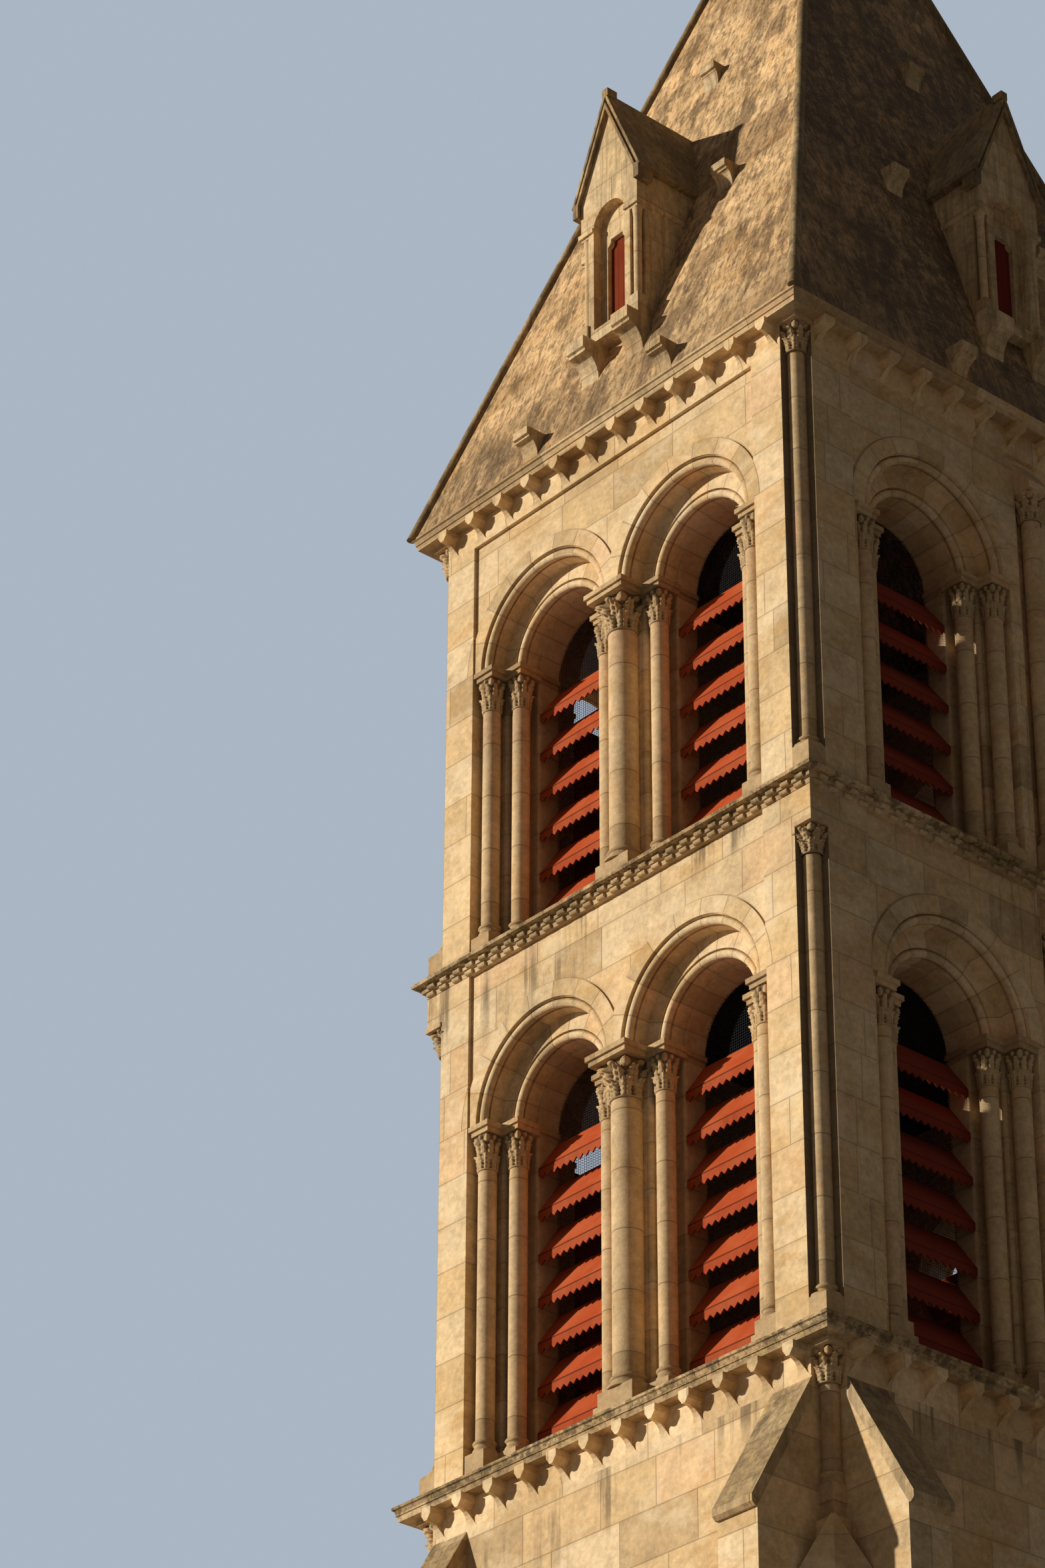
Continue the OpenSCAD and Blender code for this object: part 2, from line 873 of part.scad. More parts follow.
module billet_string() {
    z0 = lower_top;
    color(old_stone)
        union() {
            difference() {
                mitred(half_x, half_y, [[6, z0], [14, z0 + 50], [40, z0 + 54], [40, z0 + 104],
                    [88, z0 + 106], [108, z0 + 112], [110, z0 + 146], [100, z0 + string_h]]);
                block(half_x - wall_t, half_y - wall_t, z0 - 1, z0 + string_h + 1);
            }
            billet_row(z0 + billet_r + 2, 14, -0.12);
            billet_row(z0 + 80, 44, 0.12);
        }
}

// Floors of the two belfry stages
module belfry_floors() {
    color(old_stone) {
        block(half_x - wall_t, half_y - wall_t, lower_cornice_top - floor_t, lower_cornice_top);
        block(half_x - wall_t, half_y - wall_t, string_top - floor_t, string_top);
    }
}

// Base course with a chamfered top, following the walls, buttresses and corner piers
module plinth() {
    out = plinth_out;
    color(stone)
        difference() {
            union() {
                mitred(half_x, half_y, [[out, 0], [out, plinth_h - plinth_chamfer], [0, plinth_h]]);
                eight_ends()
                    plinth_foot(out);
                corners()
                    corner_foot(out);
            }
            block(half_x - wall_t, half_y - wall_t, -1, plinth_h + 1);
        }
}

// Foot of one buttress, chamfered on its three free sides
module plinth_foot(out) {
    intersection() {
        rotate([90, 0, 90])
            translate([0, 0, -out])
                linear_extrude(height = buttress_w + 2 * out)
                    polygon([[0, 0], [-buttress_p - out, 0], [-buttress_p - out, plinth_h - plinth_chamfer],
                        [-buttress_p, plinth_h], [0, plinth_h]]);
        rotate([90, 0, 0])
            linear_extrude(height = buttress_p + out)
                polygon([[-out, 0], [-out, plinth_h - plinth_chamfer], [0, plinth_h],
                    [buttress_w, plinth_h], [buttress_w + out, plinth_h - plinth_chamfer],
                    [buttress_w + out, 0]]);
    }
}

// Foot of one diagonal corner pier
module corner_foot(out) {
    reach = nook + pier_out;
    translate([half_x - nook, half_y - nook, 0])
        intersection() {
            rotate([0, 0, 45])
                rotate([90, 0, 0])
                    linear_extrude(height = 3 * reach, center = true)
                        polygon([[0, 0], [pier_in + pier_depth + out, 0],
                            [pier_in + pier_depth + out, plinth_h - plinth_chamfer],
                            [pier_in + pier_depth, plinth_h], [0, plinth_h]]);
            cube([reach + out, reach + out, plinth_h]);
        }
}

// Pyramid over the rectangular plan, lowered by t measured across the walls
module pyramid(t, z_low) {
    rx = spire_h / spire_hx;
    ry = spire_h / spire_hy;
    hx = spire_hx - t;
    hy = spire_hy - t;
    drop = upper_cornice_top - z_low;
    intersection() {
        rotate([90, 0, 0])
            linear_extrude(height = 4 * spire_hy, center = true)
                polygon([[-hx - drop / rx, z_low], [hx + drop / rx, z_low],
                    [0, upper_cornice_top + hx * rx]]);
        rotate([90, 0, 90])
            linear_extrude(height = 4 * spire_hx, center = true)
                polygon([[-hy - drop / ry, z_low], [hy + drop / ry, z_low],
                    [0, upper_cornice_top + hy * ry]]);
    }
}

module spire_shell() {
    color(spire_stone)
        difference() {
            pyramid(0, upper_cornice_top);
            pyramid(spire_t, upper_cornice_top - 1);
            block(spire_hx, spire_hy, cap_z, spire_top + 10);
            dormer_places()
                dormer_hole();
        }
}

module spire_hip_rolls() {
    run = norm([spire_hx, spire_hy, spire_h]);
    color(old_stone)
        difference() {
            intersection() {
                corners()
                    translate([spire_hx, spire_hy, upper_cornice_top])
                        rotate([0, atan2(norm([spire_hx, spire_hy]), spire_h),
                            atan2(-spire_hy, -spire_hx)])
                            translate([0, 0, -60])
                                cylinder(d = hip_d, h = run, $fn = 128);
                block(big, big, upper_cornice_top, cap_z);
            }
            pyramid(0, upper_cornice_top - 10);
        }
}

// Half width of a face of the spire at a height
function face_at(h_face, z) = h_face * (spire_top - z) / spire_h;

// A stone bracket: an upright front under a flat top, an undercut, and a hollow below
module bracket(h_face, x, z, w, h, out) {
    slope = h_face / spire_h;
    lip = out - 25;
    low = slope * h;
    translate([x - w / 2, -face_at(h_face, z), z])
        rotate([90, 0, 90])
            linear_extrude(height = w)
                polygon(concat([[low + 100, 0], [-out, 0], [-out, -0.3 * h], [-lip, -0.33 * h]],
                    [for (a = [0 : 15 : 90]) [-low - (lip - low) * (1 - sin(a)),
                        -h + 0.6 * h * cos(a)]],
                    [[low + 100, -h]]));
}

// Brackets of one face: one high up, two pairs below, and two under the dormer
module brackets_on(h_face, places, half_run, dormer_plane) {
    for (i = [0 : 2]) {
        z = upper_cornice_top + bracket_levels[i] * spire_h;
        x = places[i] * face_at(half_run, z);
        for (s = i == 0 ? [1] : [-1, 1])
            bracket(h_face, s * x, z, bracket_w, bracket_h, bracket_outs[i]);
    }
    reach = dormer_plane + support_out - face_at(h_face, dormer_foot);
    for (s = [-1, 1])
        bracket(h_face, s * support_x, dormer_foot, support_w, support_h, reach);
}

module spire_brackets() {
    color(old_stone)
        difference() {
            union() {
                for (s = [0, 180])
                    rotate([0, 0, s])
                        brackets_on(spire_hy, bracket_places_x, spire_hx, dormer_y);
                for (s = [90, 270])
                    rotate([0, 0, s])
                        brackets_on(spire_hx, bracket_places_y, spire_hy, dormer_x);
            }
            pyramid(0, upper_cornice_top - 10);
        }
}

// Way through a dormer: its window, and a wider passage from its front wall into the spire
module dormer_hole() {
    span(-window_hw, window_hw, -2 * recess_d, dormer_depth + 100, window_z0, window_z1);
    span(-passage_hw, passage_hw, dormer_wall_t, dormer_depth + 100, window_z0, window_z1 + 200);
}

// Children drawn on a dormer's front plane, at all four dormers
module dormer_places() {
    four_faces(dormer_x, dormer_y) {
        children();
        children();
    }
}

// Arched recess in the front of a dormer, down to its sill
module dormer_recess() {
    span(-recess_r, recess_r, -recess_d, recess_d, window_z0, dormer_spring);
    translate([0, recess_d, dormer_spring])
        rotate([90, 0, 0])
            cylinder(r = recess_r, h = 2 * recess_d, $fn = 64);
}

// Rounded shoulders that narrow the head of a window
module window_shoulders() {
    for (s = [0, 1])
        mirror([s, 0, 0])
            translate([0, recess_d + shutter_in, 0])
                rotate([90, 0, 0])
                    linear_extrude(height = shutter_in)
                        polygon([[window_hw, window_z1], [window_hw - shoulder_w, window_z1],
                            [window_hw - shoulder_w, window_z1 - shoulder_h * 0.4],
                            [window_hw - shoulder_w * 0.7, window_z1 - shoulder_h * 0.75],
                            [window_hw, window_z1 - shoulder_h]]);
}

module dormer_front() {
    z_low = dormer_spring - impost_low;
    nook_side = dormer_hw - colonnette_nook;
    difference() {
        union() {
            rotate([90, 0, 0])
                translate([0, 0, -dormer_depth])
                    linear_extrude(height = dormer_depth)
                        polygon([[-dormer_hw, dormer_foot], [dormer_hw, dormer_foot],
                            [dormer_hw, dormer_eave], [0, dormer_eave + dormer_hw * gable_slope],
                            [-dormer_hw, dormer_eave]]);
            for (s = [-1, 1]) {
                side_span(s, recess_r, dormer_hw + impost_out, -impost_out, dormer_depth,
                    z_low, dormer_spring + impost_high);
                side_span(s, nook_side - 10, dormer_hw + colonnette_block_out,
                    -colonnette_block_out, colonnette_nook, dormer_foot,
                    dormer_foot + colonnette_block);
            }
        }
        dormer_hole();
        dormer_recess();
        for (s = [-1, 1])
            side_span(s, nook_side, dormer_hw + 1, -1, colonnette_nook,
                dormer_foot + colonnette_block, z_low);
    }
    window_shoulders();
}

module dormer_fronts() {
    color(stone)
        difference() {
            dormer_places()
                dormer_front();
            pyramid(0, upper_cornice_top - 10);
        }
}

// Slender shafts in the front corners of the dormers
module dormer_colonnettes() {
    z0 = dormer_foot + colonnette_block;
    z1 = dormer_spring - impost_low;
    hw = colonnette_nook / 2 - 2;
    color(stone)
        dormer_places()
            for (s = [-1, 1])
                translate([s * (dormer_hw - colonnette_nook / 2), colonnette_nook / 2, 0]) {
                    translate([0, 0, z0])
                        cylinder(r = hw, h = 35);
                    translate([0, 0, z0 + 35])
                        cylinder(r = colonnette_r, h = z1 - z0 - 165);
                    translate([0, 0, z1 - 130])
                        cylinder(r1 = colonnette_r, r2 = hw, h = 100);
                    span(-hw, hw, -hw, hw, z1 - 30, z1);
                }
}

// A strip along both rakes of a gable, o0 to o1 outside the wall's own slopes
module rake(o0, o1, d0, d1) {
    top = dormer_eave + dormer_hw * gable_slope;
    translate([0, d1, 0])
        rotate([90, 0, 0])
            linear_extrude(height = d1 - d0)
                polygon([[-dormer_hw - o1, dormer_eave], [-dormer_hw - o0, dormer_eave],
                    [0, top + o0 * gable_slope], [dormer_hw + o0, dormer_eave],
                    [dormer_hw + o1, dormer_eave], [0, top + o1 * gable_slope]]);
}

// Steep stone roofs with two raised bands on each rake, kneelers and small apex blocks
module dormer_roof() {
    apex = dormer_eave + (dormer_hw + roof_out) * gable_slope;
    rake(0, roof_out, -coping_band / 2, dormer_depth);
    rake(roof_out - coping_band, roof_out, -coping_out, 0);
    rake(0, coping_band, -coping_out, 0);
    for (s = [-1, 1])
        side_span(s, dormer_hw, dormer_hw + kneeler_w, -coping_out, 140, dormer_eave - 137,
            dormer_eave + 31);
    span(-40, 40, -coping_out, 80, apex - 60, apex + 30);
}

module dormer_roofs() {
    color(old_stone)
        difference() {
            dormer_places()
                dormer_roof();
            pyramid(0, upper_cornice_top - 10);
        }
}

module dormer_shutters() {
    front = recess_d + shutter_in;
    color(shutter_red)
        dormer_places()
            span(-window_hw, window_hw, front, front + shutter_t, window_z0, window_z1);
}

module spire_cap() {
    hx = (spire_top - cap_z) * spire_hx / spire_h;
    color(old_stone)
        union() {
            intersection() {
                pyramid(0, upper_cornice_top);
                block(400, 400, cap_z, spire_top + 10);
            }
            translate([0, 0, cap_z])
                cylinder(r = hx + 40, h = 70);
        }
}

module stage_node(side, foot, spring, top, nook_top) {
    color(stone)
        stage_wall(side, foot, spring, top, nook_top);
}

module stage_corner_shafts(foot, block_h, astragal, capital_top) {
    color(stone)
        corners()
            nook_only(foot, capital_top) {
                union() {
                    translate([half_x - corner_axis, half_y - corner_axis, 0])
                        shaft(corner_d / 2, block_h, corner_block_hw, foot, astragal);
                    corner_capital(astragal, capital_top);
                }
            }
}

// Named pieces of the lower stage
module lower_corbel_table() {
    color(stone)
        corbel_table(lower_joint, lower_soffit);
}

module lower_cornice() {
    color(old_stone)
        cornice(lower_soffit, [0, 60]);
}

module lower_wall(side) {
    stage_node(side, lower_foot, lower_spring, lower_top, lower_nook_top);
}

module lower_corner_shafts() {
    stage_corner_shafts(lower_foot, lower_corner_block, lower_corner_astragal, lower_nook_top);
}

module lower_jamb_shafts() {
    color(stone)
        jamb_shafts(lower_foot, lower_astragal);
}

module lower_centre_columns() {
    color(stone)
        centre_columns(lower_foot, lower_astragal, lower_nook_top, lower_top);
}

module lower_capitals() {
    color(old_stone)
        capitals(lower_astragal);
}

module lower_imposts() {
    color(old_stone)
        imposts(lower_spring - impost_h);
}

module lower_arch_rolls() {
    color(stone)
        arch_rolls(lower_spring);
}

module lower_louvres() {
    color(louvre_red)
        louvres(lower_spring, lower_louvre_drop, lower_louvre_count, lower_louvre_pitch,
            lower_foot);
}

// Named pieces of the upper stage
module upper_wall(side) {
    stage_node(side, upper_foot, upper_spring, upper_joint, upper_joint + 1);
}

module upper_corner_shafts() {
    stage_corner_shafts(upper_foot, upper_corner_block, upper_corner_astragal, upper_soffit);
}

module upper_jamb_shafts() {
    color(stone)
        jamb_shafts(upper_foot, upper_astragal);
}

module upper_centre_columns() {
    color(stone)
        centre_columns(upper_foot, upper_astragal, upper_joint - mid_weather_h - mid_weather_drop,
            upper_joint);
}

module upper_capitals() {
    color(old_stone)
        capitals(upper_astragal);
}

module upper_imposts() {
    color(old_stone)
        imposts(upper_spring - impost_h);
}

module upper_arch_rolls() {
    color(stone)
        arch_rolls(upper_spring);
}

module upper_louvres() {
    color(louvre_red)
        louvres(upper_spring, upper_louvre_drop, upper_louvre_count, upper_louvre_pitch,
            upper_foot);
}

module upper_corbel_table() {
    color(stone)
        corbel_table(upper_joint, upper_soffit);
}

module upper_cornice() {
    color(old_stone)
        cornice(upper_soffit, [160, 0]);
}

plinth();
shaft_wall(0);  // shaft_front_wall
shaft_wall(1);  // shaft_right_wall
shaft_wall(2);  // shaft_back_wall
shaft_wall(3);  // shaft_left_wall
buttresses();
buttress_weatherings();
corner_piers();
base_corner_shafts();
lower_corbel_table();
lower_cornice();
lower_wall(0);  // lower_front_wall
lower_wall(1);  // lower_right_wall
lower_wall(2);  // lower_back_wall
lower_wall(3);  // lower_left_wall
lower_corner_shafts();
lower_jamb_shafts();
lower_centre_columns();
lower_capitals();
lower_imposts();
lower_arch_rolls();
lower_louvres();
billet_string();
upper_wall(0);  // upper_front_wall
upper_wall(1);  // upper_right_wall
upper_wall(2);  // upper_back_wall
upper_wall(3);  // upper_left_wall
upper_corner_shafts();
upper_jamb_shafts();
upper_centre_columns();
upper_capitals();
upper_imposts();
upper_arch_rolls();
upper_louvres();
belfry_floors();
upper_corbel_table();
upper_cornice();
spire_shell();
spire_hip_rolls();
spire_brackets();
dormer_fronts();
dormer_colonnettes();
dormer_roofs();
dormer_shutters();
spire_cap();
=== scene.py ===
"""Looks of a stone bell tower: ashlar walls, carved capitals, painted louvres and a slab spire.

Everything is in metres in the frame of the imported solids: the origin is the centre of the
footprint on the ground, +Z is up, and the narrow front face looks along -Y.
"""
import logging
import math
from dataclasses import dataclass, field
from enum import Enum
from functools import partialmethod
from typing import Any, Iterable

import bpy
import numpy as np
from mathutils import Matrix, Vector


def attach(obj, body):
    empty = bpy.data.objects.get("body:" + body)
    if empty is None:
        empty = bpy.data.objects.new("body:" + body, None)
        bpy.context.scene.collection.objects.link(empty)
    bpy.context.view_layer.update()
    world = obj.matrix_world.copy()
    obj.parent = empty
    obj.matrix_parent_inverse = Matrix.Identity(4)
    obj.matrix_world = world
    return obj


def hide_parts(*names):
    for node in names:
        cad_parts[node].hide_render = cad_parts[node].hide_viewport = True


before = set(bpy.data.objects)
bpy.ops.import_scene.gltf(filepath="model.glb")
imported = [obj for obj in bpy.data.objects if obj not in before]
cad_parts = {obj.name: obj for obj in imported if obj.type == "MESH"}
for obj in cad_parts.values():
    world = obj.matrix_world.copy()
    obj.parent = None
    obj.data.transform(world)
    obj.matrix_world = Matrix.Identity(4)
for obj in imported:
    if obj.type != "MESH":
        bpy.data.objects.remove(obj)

LOG = logging.getLogger("bell_tower")
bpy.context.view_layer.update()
Colour = tuple[float, float, float]
Material = bpy.types.Material


def linear(red: int, green: int, blue: int) -> Colour:
    """Turn an 8-bit display colour into the linear colour that a socket takes."""
    shares = (value / 255.0 for value in (red, green, blue))
    return tuple(share / 12.92 if share <= 0.04045 else ((share + 0.055) / 1.055) ** 2.4
                 for share in shares)


def stones(*colours: tuple[int, int, int]) -> tuple[Colour, ...]:
    """Linear colours of the pale, the warm, the pink and the dull stones of a wall."""
    return tuple(linear(*colour) for colour in colours)


# Sizes that the patterns and the capitals share with the solids
HALF_X = 2.49
HALF_Y = 2.93
BAY_X = 0.952
BAY_Y = 1.248
LOWER_SPRING = 20.215
UPPER_SPRING = 24.95
STAGE_SPLIT = 21.89
COURSE = (UPPER_SPRING - LOWER_SPRING) / 11.0
PANEL_IN = 0.036
IMPOST = 0.097
CAPITAL = 0.362
CLEAR = 0.54
LOWER_FOOT = 16.89
UPPER_FOOT = 21.89
INNER_SHAFT = (0.603, 0.255)
OUTER_SHAFT = (0.823, 0.088)
CORNER_AXIS = 0.148
NOOK = 0.195
NOOK_EDGE = NOOK + 0.002
LOWER_NOOK_TOP = 21.432
LOUVRE_ROWS = ((LOWER_SPRING - 0.404, 0.416), (UPPER_SPRING - 0.450, 0.425))


class Face(Enum):
    """The four faces: quarter turns from the front, how far out the panel is, and the bay."""
    FRONT = (0, HALF_Y - PANEL_IN, BAY_X)
    RIGHT = (1, HALF_X - PANEL_IN, BAY_Y)
    BACK = (2, HALF_Y - PANEL_IN, BAY_X)
    LEFT = (3, HALF_X - PANEL_IN, BAY_Y)

    @property
    def wide(self) -> bool:
        """Whether it is one of the wide faces."""
        return self.value[0] % 2 == 1

    @property
    def bay(self) -> float:
        """Distance from the middle of the face to the axis of each of its openings."""
        return self.value[2]

    def place(self, across: Any, depth: Any, height: Any) -> np.ndarray:
        """Turn places on the face into places in the tower's frame.

        Args:
            across: Run to the right along the face, from its middle.
            depth: Depth behind the panel of the face.
            height: Height above the ground.

        Returns:
            An array of points, with the three numbers of each along its last axis.
        """
        turns, plane, _ = self.value
        x, y = np.broadcast_arrays(np.asarray(across, float), np.asarray(depth, float) - plane)
        for _ in range(turns):
            x, y = -y, x
        return np.stack(np.broadcast_arrays(x, y, np.asarray(height, float)), axis=-1)


@dataclass(frozen=True, eq=False)
class Wire:
    """A number that runs through a material's nodes; working with it adds Math nodes.

    Comparing gives one or nought. least and most are the smaller and the greater of two
    numbers, floor is the whole number at or below, and root is the square root.
    """
    graph: "Graph"
    socket: Any

    def through(self, operation: str, *other: "Number") -> "Wire":
        """Put it through a Math node, with another term where the operation has two."""
        return self.graph.math(operation, self, *other)

    def __rsub__(self, other: float) -> "Wire":
        """Difference with a plain number first."""
        return self.graph.math("SUBTRACT", other, self)

    __add__ = __radd__ = partialmethod(through, "ADD")
    __mul__ = __rmul__ = partialmethod(through, "MULTIPLY")
    __sub__ = partialmethod(through, "SUBTRACT")
    __truediv__ = partialmethod(through, "DIVIDE")
    __gt__ = partialmethod(through, "GREATER_THAN")
    __lt__ = partialmethod(through, "LESS_THAN")
    __abs__ = partialmethod(through, "ABSOLUTE")
    least = partialmethod(through, "MINIMUM")
    most = partialmethod(through, "MAXIMUM")
    floor = partialmethod(through, "FLOOR")
    root = partialmethod(through, "SQRT")

    def beside(self, out: Any) -> "Wire":
        """Another output of the same node, by name or number."""
        return Wire(self.graph, self.socket.node.outputs[out])

    def ramp(self, low: float, high: float, least: float = 0.0, most: float = 1.0) -> "Wire":
        """Rise smoothly from least, where this is low, to most, where it is high."""
        return self.graph.node("ShaderNodeMapRange", {"interpolation_type": "SMOOTHSTEP"},
                               {0: self, 1: low, 2: high, 3: least, 4: most})


Number = Wire | float


class Graph:
    """The node tree of a material or of the world, with short ways of adding to it."""

    def __init__(self, name: str, owner: Any = None) -> None:
        """Start an empty tree.

        Args:
            name: The name of the new material.
            owner: What else has the tree, such as a world, or None for a new material.
        """
        self.owner = owner or bpy.data.materials.new(name)
        self.owner.use_nodes = True
        self.tree = self.owner.node_tree
        self.tree.nodes.clear()

    def node(self, kind: str, settings: dict[str, Any], sockets: dict[Any, Any],
             out: Any = 0) -> Wire:
        """Add any node.

        Args:
            kind: The node's type.
            settings: Attributes set first; stops holds a ramp's (place, colour) pairs.
            sockets: Values or wires by input name or number.
            out: Name or number of the output that is handed back.

        Returns:
            A wire on that output.
        """
        made = self.tree.nodes.new(kind)
        for key, value in settings.items():
            if key == "stops":
                elements = made.color_ramp.elements
                while len(elements) < len(value):
                    elements.new(0.5)
                for element, (place, colour) in zip(elements, value):
                    element.position = place
                    element.color = (*colour, 1.0)
            else:
                setattr(made, key, value)
        for key, value in sockets.items():
            if isinstance(value, Wire):
                self.tree.links.new(value.socket, made.inputs[key])
            elif isinstance(value, tuple) and made.inputs[key].type == "RGBA":
                made.inputs[key].default_value = (*value[:3], 1.0)
            else:
                made.inputs[key].default_value = value
        return Wire(self, made.outputs[out])

    def math(self, operation: str, *terms: Number) -> Wire:
        """Add a Math node over one to three terms."""
        return self.node("ShaderNodeMath", {"operation": operation}, dict(enumerate(terms)))

    def vector(self, x: Number, y: Number, z: Number) -> Wire:
        """Join three numbers into a vector."""
        return self.node("ShaderNodeCombineXYZ", {}, {0: x, 1: y, 2: z})

    def parts(self, vector: Wire) -> tuple[Wire, Wire, Wire]:
        """Take a vector apart into its three numbers."""
        first = self.node("ShaderNodeSeparateXYZ", {}, {0: vector})
        return first, first.beside(1), first.beside(2)

    def place(self) -> Wire:
        """Object coordinates, which are the tower's own frame."""
        return self.node("ShaderNodeTexCoord", {}, {}, "Object")

    def facing(self) -> Wire:
        """The direction in which the surface looks."""
        return self.node("ShaderNodeNewGeometry", {}, {}, "Normal")

    def pick(self, where: Number, no: Number, yes: Number) -> Wire:
        """Number that is no where the mask is nought and yes where it is one."""
        return self.node("ShaderNodeMix", {"data_type": "FLOAT"}, {0: where, 2: no, 3: yes})

    def blend(self, where: Number, no: Any, yes: Any) -> Wire:
        """Colour that is no where the mask is nought and yes where it is one."""
        return self.node("ShaderNodeMix", {"data_type": "RGBA"}, {0: where, 6: no, 7: yes}, 2)

    def scaled(self, colour: Wire, amount: Number) -> Wire:
        """Make a colour lighter or darker by a factor."""
        return self.node("ShaderNodeVectorMath", {"operation": "SCALE"}, {0: colour, 3: amount})

    def chance(self, first: Number, second: Number, third: Number = 0.0) -> Wire:
        """A fixed random number from nought to one for two or three whole numbers."""
        return self.node("ShaderNodeTexWhiteNoise", {"noise_dimensions": "3D"},
                         {0: self.vector(first, second, third)})

    def finish(self, colour: Wire, roughness: Number, height: Wire | None = None,
               depth: float = 0.004, shine: float = 0.2, alpha: Wire | None = None) -> Material:
        """Close the graph with its surface shader.

        Args:
            colour: Base colour.
            roughness: Roughness, as a number or a wire.
            height: Relief for the bump, or None for a smooth surface.
            depth: Depth in metres of the relief from nought to one.
            shine: Strength of its plain reflection; one half is glossy paint.
            alpha: Where the surface is solid, or None for all of it.

        Returns:
            The finished material.
        """
        sockets: dict[str, Any] = {"Base Color": colour, "Roughness": roughness,
                                   "Specular IOR Level": shine}
        if height is not None:
            sockets["Normal"] = self.node("ShaderNodeBump", {},
                                          {"Strength": 1.0, "Distance": depth, "Height": height})
        if alpha is not None:
            sockets["Alpha"] = alpha
        self.end("ShaderNodeOutputMaterial", self.node("ShaderNodeBsdfPrincipled", {}, sockets))
        return self.owner

    def end(self, kind: str, shader: Wire) -> None:
        """Lead a shader to an output node of the given type."""
        made = self.tree.nodes.new(kind)
        self.tree.links.new(shader.socket, made.inputs[0])


class Bond(Enum):
    """How the stones of a surface are laid."""
    ASHLAR = "courses of squared blocks, with wedges round the arches"
    DRUMS = "one stone a course"
    LONG = "long slabs end to end"
    SLABS = "courses of roofing slabs"


@dataclass(frozen=True)
class Cloud:
    """Noise over a place, and the mask made of it.

    The noise has scale cells in a metre and detail finer layers, as strong as rough says.
    The place is scaled by stretch first, so a small factor draws the clouds out. The mask
    rises from least, where the noise is low, to most, where it is high.
    """
    scale: float
    detail: float = 3.0
    rough: float = 0.55
    low: float = 0.0
    high: float = 1.0
    stretch: tuple[float, float, float] | None = None
    least: float = 0.0
    most: float = 1.0

    def value(self, g: Graph, place: Wire) -> Wire:
        """The noise, about one half."""
        if self.stretch is not None:
            place = g.node("ShaderNodeMapping", {"vector_type": "POINT"},
                           {0: place, 3: self.stretch})
        return g.node("ShaderNodeTexNoise", {"noise_dimensions": "3D"},
                      {"Vector": place, "Scale": self.scale, "Detail": self.detail,
                       "Roughness": self.rough})

    def mask(self, g: Graph, place: Wire) -> Wire:
        """The mask of the clouds."""
        return self.value(g, place).ramp(self.low, self.high, self.least, self.most)


# Noise of the bare stone
SHADES = Cloud(0.6, 4.0, 0.6)
MOTTLE = Cloud(3.4, 6.0, 0.75)
GRAIN = Cloud(18.0, 5.0, 0.7, 0.45, 0.70)
PITS = Cloud(55.0, 4.0, 0.75)

# Stains, from pale washes to fine flecks
WASH = Cloud(1.7, 6.0, 0.7, 0.50, 0.66, (1.0, 1.0, 1.5))
VEINS = Cloud(1.3, 7.0, 0.75, 0.50, 0.72, (1.0, 1.0, 2.4))
BLOTCHES = Cloud(1.9, 8.0, 0.8, 0.53, 0.72, most=0.5)
SLIDES = Cloud(1.0, 6.0, 0.7, 0.44, 0.66, (5.0, 5.0, 0.50))
THREADS = Cloud(1.0, 4.0, 0.6, 0.50, 0.62, (22.0, 22.0, 1.6))
BROAD = Cloud(1.0, 8.0, 0.78, 0.50, 0.58, (2.4, 2.4, 0.50))
FINE = Cloud(1.0, 7.0, 0.8, 0.50, 0.60, (13.0, 13.0, 4.0), most=0.8)
FLECKS = Cloud(1.0, 3.0, 0.6, 0.58, 0.68, (15.0, 15.0, 0.9), most=0.55)

# Unevenness of the painted shade on the side away from the key lamp, and drips under ledges
SPOTS = Cloud(7.0, 7.0, 0.8, 0.40, 0.60, least=0.55, most=1.05)
DRIFTS = Cloud(0.55, 3.0, 0.6, 0.40, 0.56, least=0.62, most=1.07)
DRIPS = Cloud(1.0, 5.0, 0.65, 0.50, 0.66, (4.5, 4.5, 0.30), most=1.6)
DRIP_AREAS = Cloud(0.9, 2.0, 0.55, 0.42, 0.60)

# Lichen and moss
LICHEN = Cloud(6.0, 6.0, 0.75, 0.50, 0.72)
MOSS = Cloud(14.0, 4.0, 0.7, 0.46, 0.62)

# Fading, streaks and brush marks of paint, dull spots on wire, and the floor
FADING = Cloud(3.0, 5.0, 0.65, 0.35, 0.70)
STREAKS = Cloud(1.0, 5.0, 0.55, 0.50, 0.85, (9.0, 9.0, 1.2), most=0.35)
BRUSH = Cloud(40.0)
TARNISH = Cloud(30.0, 2.0)
FLOOR = Cloud(0.4, 2.0)

# How far a surface looks along +X, up or down where a mask begins and where it is full
SHADED_SIDE = (0.2, 0.8)
LEVEL = (0.15, 0.75)
UNDERSIDE = (0.2, 0.9)

# Metres from a joint, from a rim and behind the panel where a mask begins and ends
WORN_EDGE = (0.008, 0.05)
RIM_REACH = (0.02, 0.15)
REVEAL_SHADE_DEPTH = (0.24, 0.52)
ROOM_DEPTH = (0.66, 0.705)

# Values of the lichen's noise where it begins along a rim and where it is full
RIM_LICHEN = (0.42, 0.56)

# Weights in the stone's tone, in its relief, in its growths, at the spire's foot and in the
# painted shade under ledges
BASE_TONE, SHADE_TONE, MOTTLE_TONE, GRAIN_TONE = -0.20, 0.50, 0.92, 0.98
GRAIN_RELIEF, PIT_RELIEF, STONE_RELIEF, GROWTH_RELIEF, SEAM_RELIEF = 0.30, 0.22, 0.10, 0.9, 0.6
LEVEL_GROWTH, LICHEN_GROWTH, GROWTH_COVER = 0.35, 0.9, 0.85
FOOT_BASE, FOOT_SHARE, LEDGE_SHADE_BASE = 0.3, 0.5, 0.16

# Roughness that pits and brush marks add
PIT_ROUGHNESS, BRUSH_ROUGHNESS = 0.16, 0.2
